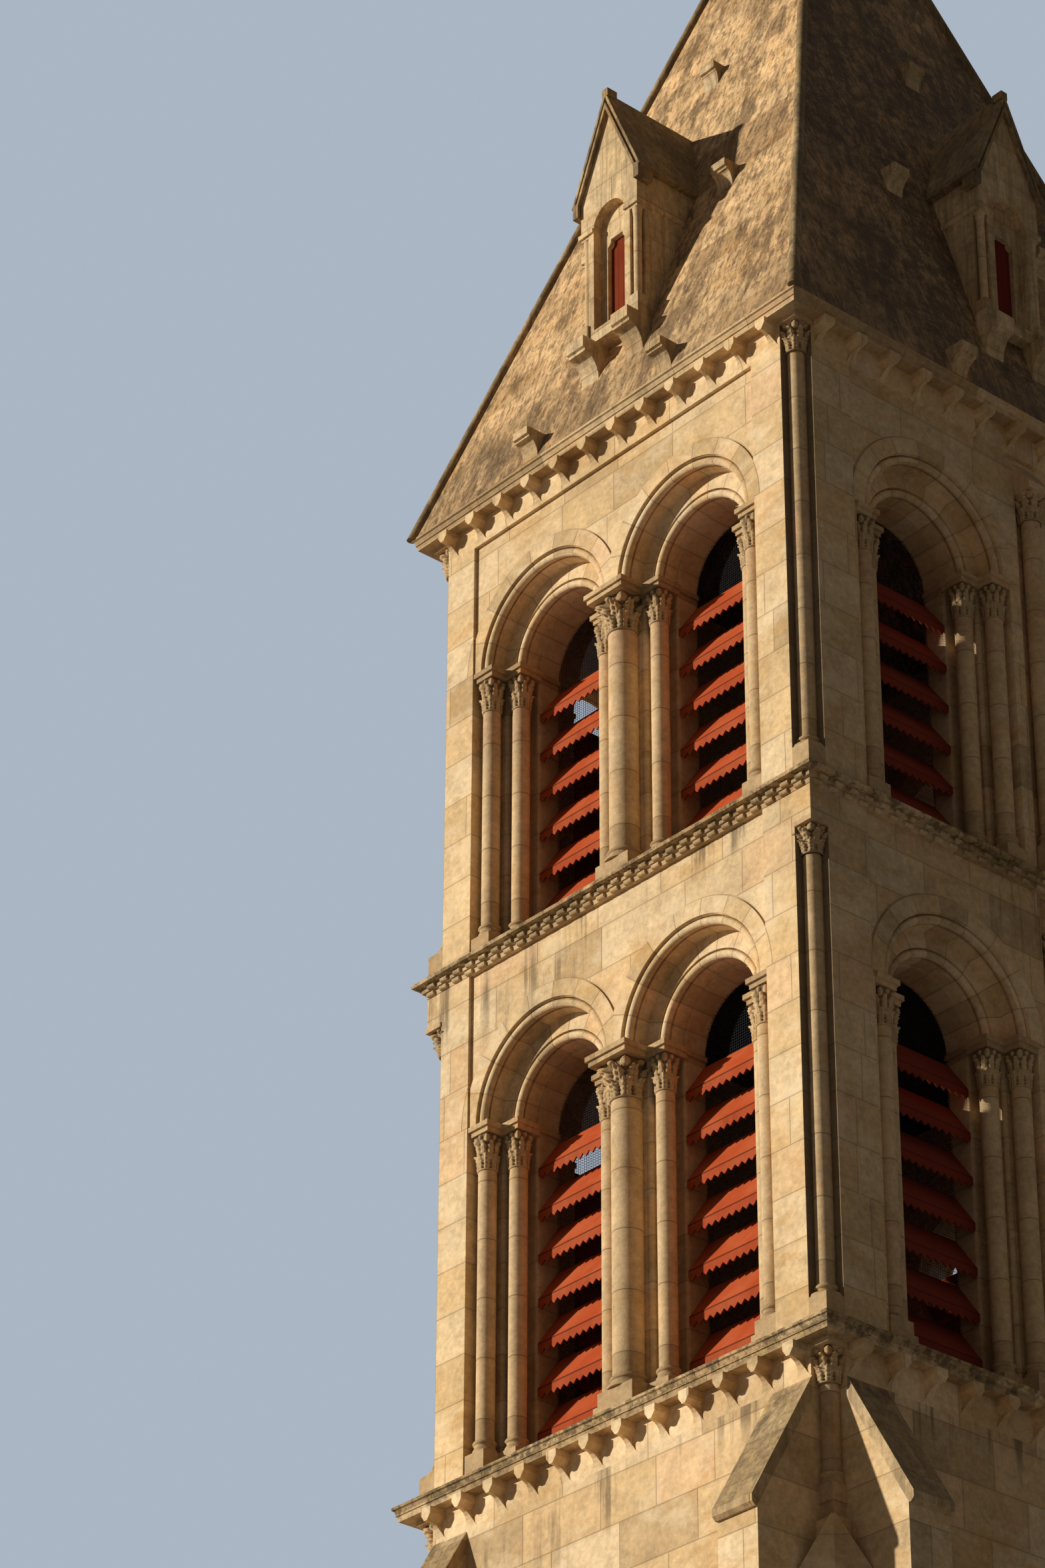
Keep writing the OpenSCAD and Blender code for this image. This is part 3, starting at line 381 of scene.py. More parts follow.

# The strongest that each grime and each painted shade gets
FOOT_GRIME, SIDE_SHADE_MAX, LEDGE_RUN_AND_SHADE_MAX, WORN_GRIME = 0.8, 0.92, 0.70, 0.16
HOLLOW_SHADE_MAX, NOOK_SHADE_MAX, REVEAL_SHADE_MAX, ROOM_SHADE_MAX = 0.72, 0.78, 0.45, 0.97


@dataclass(frozen=True)
class Masonry:
    """Joints and stones worked out from where a point lies on the tower.

    The first row and block keep the counts above nought. Upright joints wander by a part of
    a block's length, and the rows are shifted against each other by a number of blocks.
    """
    graph: Graph
    bond: Bond = Bond.ASHLAR
    course: float = COURSE
    length: float = 0.80
    joint: float = 0.007
    wedges: int = 9
    wedge_reach: float = 1.035
    wedge_step: float = 0.8
    wander: float = 0.44
    turned: float = 0.7
    mortar: tuple[float, float] = (0.45, 1.25)
    first_row: float = 200.0
    first_block: float = 50.0
    shift: float = 9.0

    def face_coordinates(self) -> tuple[Wire, Wire, Wire, Wire]:
        """Say where a point lies on the face that it is nearest to.

        Returns:
            The run along the face, the height, the mask of the wide faces, and the offset
            from the axis of the nearest opening.
        """
        g = self.graph
        x, y, z = g.parts(g.place())
        wide = (HALF_Y - abs(y)) - (HALF_X - abs(x)) > 0.0
        across = g.pick(wide, x, y)
        offset = abs(across) - g.pick(wide, BAY_X, BAY_Y)
        return across, z, wide, offset

    def courses(self, across: Wire, height: Wire, wide: Wire) -> tuple[Wire, Wire]:
        """Level courses of blocks with upright joints moved at random.

        The course is the whole part of height over course. In it, the joint nearest to the
        run, counted in blocks, is a whole number moved by a fixed random amount, and the
        block is known by that number and by the side of the joint that the point is on. A
        surface that looks squarely up shows no bed joints, and one that looks along the face
        no upright ones. The plain numbers given to chance only keep its draws apart.

        Args:
            across: Run along the face.
            height: Height above the ground.
            wide: Mask of the wide faces.

        Returns:
            Distance to the nearest joint in metres, and a random number for each block.
        """
        g = self.graph
        nx, ny, nz = g.parts(g.facing())
        rows = (height - LOWER_SPRING) / self.course + self.first_row
        row = rows.floor()
        part = rows - row
        bed = part.least(1.0 - part) * self.course + (abs(nz) > self.turned)
        if self.bond is Bond.DRUMS:
            return bed, g.chance(row, 3.0, 1.0)
        run = across / self.length + g.chance(row, 7.0) * self.shift + self.first_block
        near = (run + 0.5).floor()
        side = run - near - (g.chance(near, row, 2.0) - 0.5) * self.wander
        upright = abs(side) * self.length + (abs(g.pick(wide, nx, ny)) > self.turned)
        if self.bond is Bond.LONG:
            return upright, g.chance(near + (side > 0.0), 5.0)
        return bed.least(upright), g.chance(near + (side > 0.0), row, 1.0)

    def blocks(self) -> tuple[Wire, Wire]:
        """Distance to the nearest joint, and a random number for each stone.

        Round an arch the stones are wedges: the angle about the arch's centre is cut into
        equal parts, and the joint's distance is the angle from it times the radius.

        Returns:
            The distance in metres and the random number.
        """
        g = self.graph
        across, height, wide, offset = self.face_coordinates()
        gap, stone = self.courses(across, height, wide)
        if self.bond is not Bond.ASHLAR:
            return gap, stone
        upper = height > STAGE_SPLIT
        rise = height - g.pick(upper, LOWER_SPRING, UPPER_SPRING)
        radius = (offset * offset + rise * rise).root()
        turn = g.math("ARCTAN2", rise, offset) * (self.wedges / math.pi)
        wedge = turn.floor()
        part = turn - wedge
        radial = part.least(1.0 - part) * radius * (math.pi / self.wedges)
        ring = abs(radius - self.wedge_reach)
        inside = (rise > 0.0) * (radius < self.wedge_reach)
        bay = (across > 0.0) + wide * 2.0 + upper * 4.0
        wedge_stone = g.chance(wedge + 40.0, bay, (radius > self.wedge_step) + 3.0)
        return (g.pick(inside, gap.least(ring + (rise < 0.0)), radial.least(ring)),
                g.pick(inside, stone, wedge_stone))

    def seam(self, gap: Wire) -> Wire:
        """Mask of the joints: one in the mortar, falling to nought beside it."""
        low, high = self.mortar
        return 1.0 - gap.ramp(self.joint * low, self.joint * high)


@dataclass
class Coat:
    """The colour of a stone surface while its layers are laid, and what the layers read."""
    graph: Graph
    place: Wire
    parts: tuple[Wire, Wire, Wire]
    facing: tuple[Wire, Wire, Wire]
    stone: Wire
    grain: Wire
    lichen: Wire
    colour: Wire

    @property
    def height(self) -> Wire:
        """Height above the ground."""
        return self.parts[2]

    def mask(self, cloud: Cloud) -> Wire:
        """The mask of a cloud over the surface."""
        return cloud.mask(self.graph, self.place)

    def value(self, cloud: Cloud) -> Wire:
        """The noise of a cloud over the surface."""
        return cloud.value(self.graph, self.place)

    def cover(self, mask: Number, colour: Any) -> None:
        """Lay a colour over the surface, as far as the mask says."""
        self.colour = self.graph.blend(mask, self.colour, colour)


@dataclass(frozen=True)
class Limestone:
    """Golden limestone with its joints, stains, runs, grime, lichen and painted shade.

    The layers are laid one over another: bare stone, stains, grime with painted shade on the
    side away from the key lamp and under ledges, mortar, growth, and then the painted shade of
    hollows and recesses. The numbers from lichen to vary say how much of each there is,
    and tones are the colours of the pale, the warm, the pink and the dull stones.
    """
    name: str
    bond: Bond = Bond.ASHLAR
    lichen: float = 0.0
    stain: float = 0.5
    # Strength of the drips, which are stains, and of the even band of painted shade under ledges
    runs: float = 0.52
    # Strength of the painted shade, made uneven by spots, on the side facing +X, away from the
    # key lamp
    painted_side_shade: float = 0.0
    streaks: float = 0.0
    patches: float = 0.0
    mark: float = 0.42
    rim: float = 0.8
    bleach: float = 0.0
    vary: float = 0.12
    carving: bool = False
    tones: tuple[Colour, ...] = stones((238, 205, 155), (226, 187, 130), (228, 187, 137),
                                       (204, 169, 120))
    white: Colour = linear(250, 222, 176)
    mortar: Colour = linear(168, 132, 92)
    ochre: Colour = linear(204, 150, 78)
    # Colour of the grime, and of the painted shade on the +X side, under ledges and in the
    # corner nooks
    soot_and_shade: Colour = linear(92, 74, 52)
    moss: Colour = linear(168, 140, 82)
    crust: Colour = linear(98, 79, 55)
    # Colours of the painted shade in carved hollows, in the reveals and in the rooms behind the
    # louvres
    hollow: Colour = linear(84, 58, 36)
    reveal_shade: Colour = linear(122, 74, 42)
    dark: Colour = linear(20, 14, 10)
    roughness: float = 0.80
    shine: float = 0.15
    depth: float = 0.007
    joint: float = 0.005
    course: float = COURSE
    length: float = 0.80
    ledges: tuple[float, ...] = (16.43, 21.74, 26.38)
    ledge_reach: float = 1.1
    tops: tuple[float, ...] = (16.80, 21.89)
    drip_top: float = 25.0
    spire_foot: float = 26.8
    spire_reach: float = 1.6
    rooms: tuple[float, float] = (16.7, 26.9)

    def bare(self, coat: Coat) -> None:
        """Lay the colour of the clean stones, each with a tone of its own.

        Args:
            coat: The surface.
        """
        g = coat.graph
        pale, warm, pink, dull = self.tones
        stops = [(0.0, dull), (0.2, warm), (0.5, pale), (0.8, warm), (1.0, pink)]
        colour = g.node("ShaderNodeValToRGB", {"stops": stops}, {0: coat.stone})
        tone = (coat.value(SHADES) * SHADE_TONE + coat.value(MOTTLE) * MOTTLE_TONE
                + coat.grain * GRAIN_TONE + BASE_TONE)
        coat.colour = g.scaled(g.scaled(colour, tone),
                               coat.stone * self.vary + (1.0 - self.vary * 0.5))

    def stain_over(self, coat: Coat) -> None:
        """Lay the stains over the stones, one cloud after another.

        Args:
            coat: The surface.
        """
        layers = ((WASH, self.bleach, self.white), (VEINS, self.stain, self.ochre),
                  (BLOTCHES, self.stain, self.soot_and_shade), (SLIDES, self.streaks, self.crust),
                  (THREADS, self.streaks, self.soot_and_shade), (BROAD, self.patches, self.crust),
                  (FINE, self.patches, self.soot_and_shade), (FLECKS, self.patches, self.tones[0]))
        for cloud, strength, colour in layers:
            if strength:
                coat.cover(coat.mask(cloud) * strength, colour)

    def under_ledges(self, height: Wire) -> Wire:
        """Work out the mask of what lies under a ledge, falling to nought below it.

        Args:
            height: Height above the ground.

        Returns:
            The mask.
        """
        mask: Number = 0.0
        for ledge in self.ledges:
            below = ledge - height
            mask = (1.0 - below.ramp(0.0, self.ledge_reach)) * (below > 0.0) + mask
        return mask

    def grime_and_shade_over(self, coat: Coat) -> None:
        """Darken the spire's foot, paint shade on the side away from the key lamp, and lay runs
        and painted shade under ledges.

        Args:
            coat: The surface.
        """
        if self.patches:
            foot = 1.0 - (coat.height - self.spire_foot).ramp(0.0, self.spire_reach)
            foot = foot * (coat.value(FINE) + FOOT_BASE) * (self.patches * FOOT_SHARE)
            coat.cover(foot.least(FOOT_GRIME), self.soot_and_shade)
        # Painted shade: stones facing +X, away from the key lamp, darkened unevenly
        if self.painted_side_shade:
            uneven = coat.mask(SPOTS) * coat.mask(DRIFTS)
            shaded = coat.facing[0].ramp(*SHADED_SIDE) * self.painted_side_shade * uneven
            coat.cover(shaded.least(SIDE_SHADE_MAX), self.soot_and_shade)
        # Under each ledge: drips, which are stains, over an even band of painted shade
        drips = coat.mask(DRIPS) * coat.mask(DRIP_AREAS) * (coat.height < self.drip_top)
        shade = self.under_ledges(coat.height) * (drips + LEDGE_SHADE_BASE)
        coat.cover((shade * self.runs).least(LEDGE_RUN_AND_SHADE_MAX), self.soot_and_shade)

    def growth(self, coat: Coat) -> Wire:
        """Work out where lichen grows: on level stones, in patches of others, along rims.

        Args:
            coat: The surface.

        Returns:
            The mask.
        """
        rims: Number = 0.0
        for top in self.tops:
            rims = (1.0 - abs(coat.height - top).ramp(*RIM_REACH)) + rims
        level = coat.facing[2].ramp(*LEVEL) * (coat.lichen * LICHEN_GROWTH + LEVEL_GROWTH)
        others = coat.lichen.ramp(LICHEN.low, LICHEN.high) * self.lichen
        return (level + others + rims * coat.lichen.ramp(*RIM_LICHEN) * self.rim).least(1.0)

    def recess_shade_over(self, coat: Coat) -> None:
        """Paint shade into carved hollows, the recesses beside the corner shafts, and the
        insides.

        Args:
            coat: The surface.
        """
        x, y, height = coat.parts
        # Painted shade in the carved hollows, from the relief of each point
        if self.carving:
            relief = coat.graph.node("ShaderNodeAttribute", {"attribute_name": "relief"}, {},
                                     "Fac")
            coat.cover((1.0 - relief.ramp(0.0, 0.75)) * HOLLOW_SHADE_MAX, self.hollow)
        # Painted shade in the recesses beside the corner shafts
        if self.bond is Bond.ASHLAR:
            nook = (abs(x) > HALF_X - NOOK_EDGE) * (abs(y) > HALF_Y - NOOK_EDGE)
            stage = (height > LOWER_FOOT) * (height < LOWER_NOOK_TOP) + (height > UPPER_FOOT)
            coat.cover(nook * stage * NOOK_SHADE_MAX, self.soot_and_shade)
        # Painted shade deeper in the reveals, and near-black painted shade in the rooms behind
        # them
        deep = (HALF_X - abs(x)).least(HALF_Y - abs(y)) - PANEL_IN
        belfry = (height > self.rooms[0]) * (height < self.rooms[1])
        coat.cover(deep.ramp(*REVEAL_SHADE_DEPTH) * REVEAL_SHADE_MAX * belfry, self.reveal_shade)
        coat.cover(deep.ramp(*ROOM_DEPTH) * ROOM_SHADE_MAX * belfry, self.dark)

    def dress(self) -> Material:
        """Build the material.

        Returns:
            The material.
        """
        g = Graph(self.name)
        place = g.place()
        wall = Masonry(g, self.bond, self.course, self.length, self.joint)
        gap, stone = wall.blocks()
        seam = wall.seam(gap)
        coat = Coat(g, place, g.parts(place), g.parts(g.facing()), stone,
                    GRAIN.value(g, place), LICHEN.value(g, place), stone)
        self.bare(coat)
        self.stain_over(coat)
        self.grime_and_shade_over(coat)
        coat.cover(seam * self.mark, self.mortar)
        worn = (1.0 - gap.ramp(*WORN_EDGE)) * coat.grain.ramp(GRAIN.low, GRAIN.high)
        coat.cover(worn * WORN_GRIME, self.soot_and_shade)
        growth = self.growth(coat)
        coat.cover(growth * GROWTH_COVER, g.blend(coat.mask(MOSS), self.crust, self.moss))
        self.recess_shade_over(coat)
        pits = coat.value(PITS)
        relief = (coat.grain * GRAIN_RELIEF + pits * PIT_RELIEF + stone * STONE_RELIEF
                  + growth * coat.lichen * GROWTH_RELIEF - seam * SEAM_RELIEF)
        return g.finish(coat.colour, pits * PIT_ROUGHNESS + self.roughness, relief, self.depth,
                        self.shine)


@dataclass(frozen=True)
class Paint:
    """Old paint: faded and streaked, with painted shade on the side away from the key lamp and
    underneath.

    Blades that come in rows have a darker line where each toothed fringe begins, and painted
    shade on each fringe; with no rows given the piece is boarded, with grime between the
    upright boards.
    """
    name: str
    fresh: Colour
    faded: Colour
    # Colour of the grime, streaks and dark lines, and of the painted shade on undersides
    dirt_and_shade: Colour = linear(78, 36, 18)
    shaded: Colour = linear(104, 38, 32)
    rows: tuple[tuple[float, float], ...] = ()
    fringe: float = 0.11
    line: float = 0.012
    lip: float = 0.006
    board: float = 0.065
    gap: float = 0.06
    fading: float = 0.55
    fringe_shade: float = 0.16
    line_darkening: float = 0.75
    gap_dirt: float = 0.8
    underside_shade: float = 0.7
    side_shade: float = 0.70
    roughness: float = 0.60
    fade_relief: float = 0.4
    depth: float = 0.0015
    shine: float = 0.03

    def fringes(self, g: Graph, height: Wire) -> tuple[Wire, Wire]:
        """Masks of the fringes under the blades, and of the line where each fringe begins.

        The height below the nearest line above, counted in rows of blades, is taken as a
        part of a row; the fringe is the first ninth of a metre of it.

        Args:
            g: The graph.
            height: Height above the ground.

        Returns:
            The two masks.
        """
        upper = height > STAGE_SPLIT
        (low_top, low_pitch), (high_top, high_pitch) = self.rows
        pitch = g.pick(upper, low_pitch, high_pitch)
        fall = (g.pick(upper, low_top, high_top) - height) / pitch + 20.0
        below = (fall - fall.floor()) * pitch
        return below < self.fringe, (below < self.line).most(below > pitch - self.lip)

    def dress(self) -> Material:
        """Build the material.

        Returns:
            The material.
        """
        g = Graph(self.name)
        place = g.place()
        x, y, height = g.parts(place)
        fade = FADING.mask(g, place)
        body = g.blend(fade * self.fading, self.fresh, self.faded)
        body = g.blend(STREAKS.mask(g, place), body, self.dirt_and_shade)
        if self.rows:
            fringe, line = self.fringes(g, height)
            # Painted shade on each toothed fringe
            body = g.scaled(body, 1.0 - fringe * self.fringe_shade)
            # A darker line where each fringe begins
            body = g.blend(line * self.line_darkening, body, self.dirt_and_shade)
        else:
            run = g.pick((HALF_Y - abs(y)) > (HALF_X - abs(x)), x, y) / self.board + 20.5
            part = run - run.floor()
            body = g.blend((part.least(1.0 - part) < self.gap) * self.gap_dirt, body, self.dirt_and_shade)
        east, _, up = g.parts(g.facing())
        # Painted shade on blades facing +X, away from the key lamp
        body = g.blend(east.ramp(*SHADED_SIDE) * self.side_shade, body, self.shaded)
        # Painted shade on undersides
        body = g.blend((0.0 - up).ramp(*UNDERSIDE) * self.underside_shade, body, self.dirt_and_shade)
        brush = BRUSH.value(g, place)
        return g.finish(body, brush * BRUSH_ROUGHNESS + self.roughness,
                        brush + fade * self.fade_relief, self.depth, self.shine)


@dataclass(frozen=True)
class Netting:
    """Wire netting, drawn as square holes that are cut out of a sheet."""
    name: str = "bird_netting"
    pitch: float = 0.026
    wire: float = 0.0035
    first_cell: float = 400.0
    tone: float = 0.02
    roughness: float = 0.9

    def dress(self) -> Material:
        """Build the material.

        Returns:
            The material.
        """
        g = Graph(self.name)
        x, y, z = g.parts(g.place())
        solid: Number = 0.0
        for run in (x + y, z):
            cells = run / self.pitch + self.first_cell
            part = cells - cells.floor()
            solid = (part < self.wire / self.pitch).most(solid)
        tone = TARNISH.value(g, g.place()) * self.tone + self.tone
        colour = g.vector(tone, tone, tone)
        return g.finish(colour, self.roughness, shine=0.0, alpha=solid)


@dataclass(frozen=True)
class Finishes:
    """Every material of the tower, made once."""
    wall: Material = field(default_factory=Limestone(
        "ashlar", painted_side_shade=0.2, bleach=0.45, stain=0.62).dress)
    drum: Material = field(default_factory=Limestone(
        "drum_stone", Bond.DRUMS, runs=0.3, mark=0.8, course=0.56,
        tones=stones((214, 180, 132), (208, 172, 122), (202, 162, 118), (190, 156, 110))).dress)
    ledge: Material = field(default_factory=Limestone(
        "ledge_stone", Bond.LONG, lichen=0.32, stain=0.9, patches=0.14, rim=1.0, length=0.95,
        tones=stones((222, 188, 138), (212, 176, 124), (206, 166, 118), (188, 154, 108))).dress)
    carved: Material = field(default_factory=Limestone(
        "carved_stone", Bond.DRUMS, lichen=0.10, stain=0.7, carving=True, course=4.0,
        tones=stones((206, 172, 124), (198, 164, 116), (190, 154, 110), (186, 152, 108))).dress)
    dormer: Material = field(default_factory=Limestone(
        "dormer_stone", lichen=0.30, stain=0.9, painted_side_shade=0.30, streaks=0.30, patches=0.18,
        tones=stones((236, 202, 150), (224, 188, 134), (216, 176, 128), (200, 164, 114))).dress)
    mossy: Material = field(default_factory=Limestone(
        "mossy_stone", Bond.LONG, lichen=0.6, stain=0.9, painted_side_shade=0.65, streaks=0.5, patches=0.55,
        length=0.6,
        tones=stones((200, 168, 118), (186, 154, 106), (176, 142, 98), (160, 130, 88))).dress)
    spire: Material = field(default_factory=Limestone(
        "spire_slabs", Bond.SLABS, lichen=0.30, stain=0.9, runs=0.0, painted_side_shade=0.92, streaks=0.50,
        patches=0.72, mark=0.75, vary=0.40, depth=0.0035, joint=0.004, course=0.36,
        length=0.75, crust=linear(106, 80, 53), soot_and_shade=linear(70, 54, 39),
        tones=stones((248, 202, 142), (238, 190, 130), (230, 180, 122), (212, 166, 112))).dress)
    louvre: Material = field(default_factory=Paint(
        "louvre_paint", linear(186, 79, 40), linear(204, 106, 62), rows=LOUVRE_ROWS).dress)
    shutter: Material = field(default_factory=Paint(
        "shutter_paint", linear(124, 46, 18), linear(134, 60, 28)).dress)
    netting: Material = field(default_factory=Netting().dress)


def tube_mesh(name: str, patches: np.ndarray, closed: bool = True) -> bpy.types.Object:
    """Make one object of many grid surfaces, each of which may close on itself.

    Row i, column j of a patch joins to column j + 1 and row i + 1. A closed patch joins its
    last column to its first, and its first and last rows are filled with flat faces. The
    faces between rows are shaded as one curve.

    Args:
        name: The object's name.
        patches: Points, by patch, row, column and coordinate.
        closed: Whether the columns run round.

    Returns:
        The object, linked to the scene.
    """
    count, rows, columns, _ = patches.shape
    index = np.arange(count * rows * columns).reshape(count, rows, columns)
    here = index if closed else index[:, :, :-1]
    there = np.roll(index, -1, axis=2) if closed else index[:, :, 1:]
    quads = np.stack((here[:, :-1], there[:, :-1], there[:, 1:], here[:, 1:]), axis=-1)
    loops = [quads.reshape(-1)]
    totals = [np.full(quads.size // 4, 4)]
    if closed:
        loops += [index[:, 0, ::-1].reshape(-1), index[:, -1].reshape(-1)]
        totals += [np.full(2 * count, columns)]
    corner = np.concatenate(loops)
    total = np.concatenate(totals)
    mesh = bpy.data.meshes.new(name)
    mesh.vertices.add(patches.size // 3)
    mesh.vertices.foreach_set("co", patches.reshape(-1))
    mesh.loops.add(corner.size)
    mesh.loops.foreach_set("vertex_index", corner)
    mesh.polygons.add(total.size)
    mesh.polygons.foreach_set("loop_start", np.concatenate(([0], np.cumsum(total)[:-1])))
    mesh.polygons.foreach_set("loop_total", total)
    mesh.polygons.foreach_set("use_smooth", total == 4)
    mesh.update(calc_edges=True)
    mesh.validate()
    made = bpy.data.objects.new(name, mesh)
    bpy.context.scene.collection.objects.link(made)
    return made


def fit_out(piece: bpy.types.Object, material: Material, slot: str, *replaced: str) -> None:
    """Give a new piece its finish, its body and the solids that it stands for.

    Args:
        piece: The piece.
        material: Its finish.
        slot: The record's material slot; not used.
        replaced: Names of the solids that it hides.
    """
    piece.data.materials.append(material)
    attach(piece, "root")
    if replaced:
        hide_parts(*replaced)
    LOG.info("%s: %d faces", piece.name, len(piece.data.polygons))


@dataclass(frozen=True)
class Capital:
    """A carved capital: two tiers of leaves on a bell that turns from round to square.

    The bell's radius grows with a power of the height, and the square is the radius divided
    by a power of the larger of cosine and sine. A leaf is half a round across its width,
    narrows to its tip in lobes, and leans out more and more until it is cut off at the tip.
    Scrolls stand under the four corners, and a boss in the middle of each side.

    A tier is its turn in leaves, the height where it begins and the height of its tips. A
    size is half the width as an angle, and half the height. Heights are parts of the whole.
    """
    neck: float
    spread: float
    height: float
    around: int = 72
    rows: int = 46
    leaves: int = 8
    lower_tier: tuple[float, float, float] = (0.5, 0.07, 0.46)
    upper_tier: tuple[float, float, float] = (0.0, 0.30, 0.78)
    lobes: float = 3.5
    lobe_depth: float = 0.14
    leaf_width: float = 0.88
    rib_depth: float = 0.45
    rib_width: float = 0.10
    vein_depth: float = 0.16
    scroll_height: float = 0.85
    scroll_size: tuple[float, float] = (0.30, 0.125)
    scroll_out: float = 0.22
    boss_height: float = 0.91
    boss_size: tuple[float, float] = (0.22, 0.075)
    boss_out: float = 0.20
    ring_height: float = 0.030
    ring_size: float = 0.032
    ring_out: float = 0.16
    reach: float = 0.985

    def leaf(self, turn: np.ndarray, rise: np.ndarray, offset: float, low: float,
             high: float) -> np.ndarray:
        """Relief of one tier of leaves, as a part of the capital's spread.

        Args:
            turn: Angle round the axis.
            rise: Height from nought to one.
            offset: Turn of the tier, in leaves.
            low: Height where the leaves begin.
            high: Height of their tips.

        Returns:
            The relief.
        """
        part = (turn * self.leaves / (2.0 * np.pi) + offset) % 1.0
        across = 2.0 * np.abs(part - 0.5)
        along = np.clip((rise - low) / (high - low), 0.0, 1.0)
        lobes = 1.0 - self.lobe_depth * np.cos(2.0 * np.pi * self.lobes * along)
        width = self.leaf_width * np.sqrt(1.0 - along ** 5) * lobes + 1e-3
        body = np.sqrt(np.clip(1.0 - (across / width) ** 2, 0.0, 1.0))
        lean = 0.13 + 0.06 * along + 0.26 * along ** 5
        rib = 1.0 - self.rib_depth * np.exp(-(across / self.rib_width) ** 2)
        wave = np.cos(2.0 * np.pi * (self.lobes * along + 0.8 * across))
        vein = 1.0 - self.vein_depth * wave
        there = (rise > low - 0.02) & (rise < high)
        return np.where(there, body * lean * rib * vein, 0.0)

    def surface(self) -> tuple[np.ndarray, np.ndarray]:
        """Points of the capital about the middle of its foot.

        Returns:
            The points, by row, column and coordinate, and by row and column how far each
            stands out from the bell, from nought in a hollow to one.
        """
        turn = np.linspace(0.0, 2.0 * np.pi, self.around, endpoint=False)[None, :]
        rise = np.linspace(0.0, 1.0, self.rows)[:, None]
        square = np.maximum(np.abs(np.cos(turn)), np.abs(np.sin(turn)))
        fade = np.clip((rise - 0.40) / 0.45, 0.0, 1.0)
        power = 0.80 * fade * fade * (3.0 - 2.0 * fade)
        flare = self.neck * 0.96 + (self.spread * 0.70 - self.neck) * rise ** 1.9
        bell = flare * square ** -power
        leaves = np.maximum(self.leaf(turn, rise, *self.lower_tier),
                            self.leaf(turn, rise, *self.upper_tier))
        diagonal = np.abs(turn % (np.pi / 2) - np.pi / 4)
        wide, tall = self.scroll_size
        far = np.hypot(diagonal / wide, (rise - self.scroll_height) / tall)
        scroll = np.sqrt(np.clip(1.0 - far ** 2, 0.0, 1.0)) * (0.80 + 0.20 * np.cos(far * 10.0))
        middle = np.abs((turn + np.pi / 4) % (np.pi / 2) - np.pi / 4)
        wide, tall = self.boss_size
        far = np.hypot(middle / wide, (rise - self.boss_height) / tall)
        boss = np.sqrt(np.clip(1.0 - far ** 2, 0.0, 1.0))
        far = (rise - self.ring_height) / self.ring_size
        ring = np.sqrt(np.clip(1.0 - far ** 2, 0.0, 1.0))
        radius = bell + self.spread * (leaves + self.scroll_out * scroll + self.boss_out * boss)
        radius = radius + self.neck * self.ring_out * ring
        radius = np.minimum(radius, self.spread * self.reach / square)
        relief = np.clip((radius - bell) / (self.spread * 0.16), 0.0, 1.0)
        height = np.broadcast_to(self.height * rise, radius.shape)
        points = np.stack((radius * np.cos(turn), radius * np.sin(turn), height), axis=-1)
        return points, relief

    def stand(self, name: str, feet: np.ndarray) -> bpy.types.Object:
        """Make one object of copies of the capital on many feet.

        Args:
            name: The object's name.
            feet: The places of the feet.

        Returns:
            The object, with the relief of each point as an attribute.
        """
        points, relief = self.surface()
        made = tube_mesh(name, feet[:, None, None, :] + points[None])
        carved = made.data.attributes.new("relief", "FLOAT", "POINT")
        carved.data.foreach_set("value", np.tile(relief.reshape(-1), len(feet)))
        return made


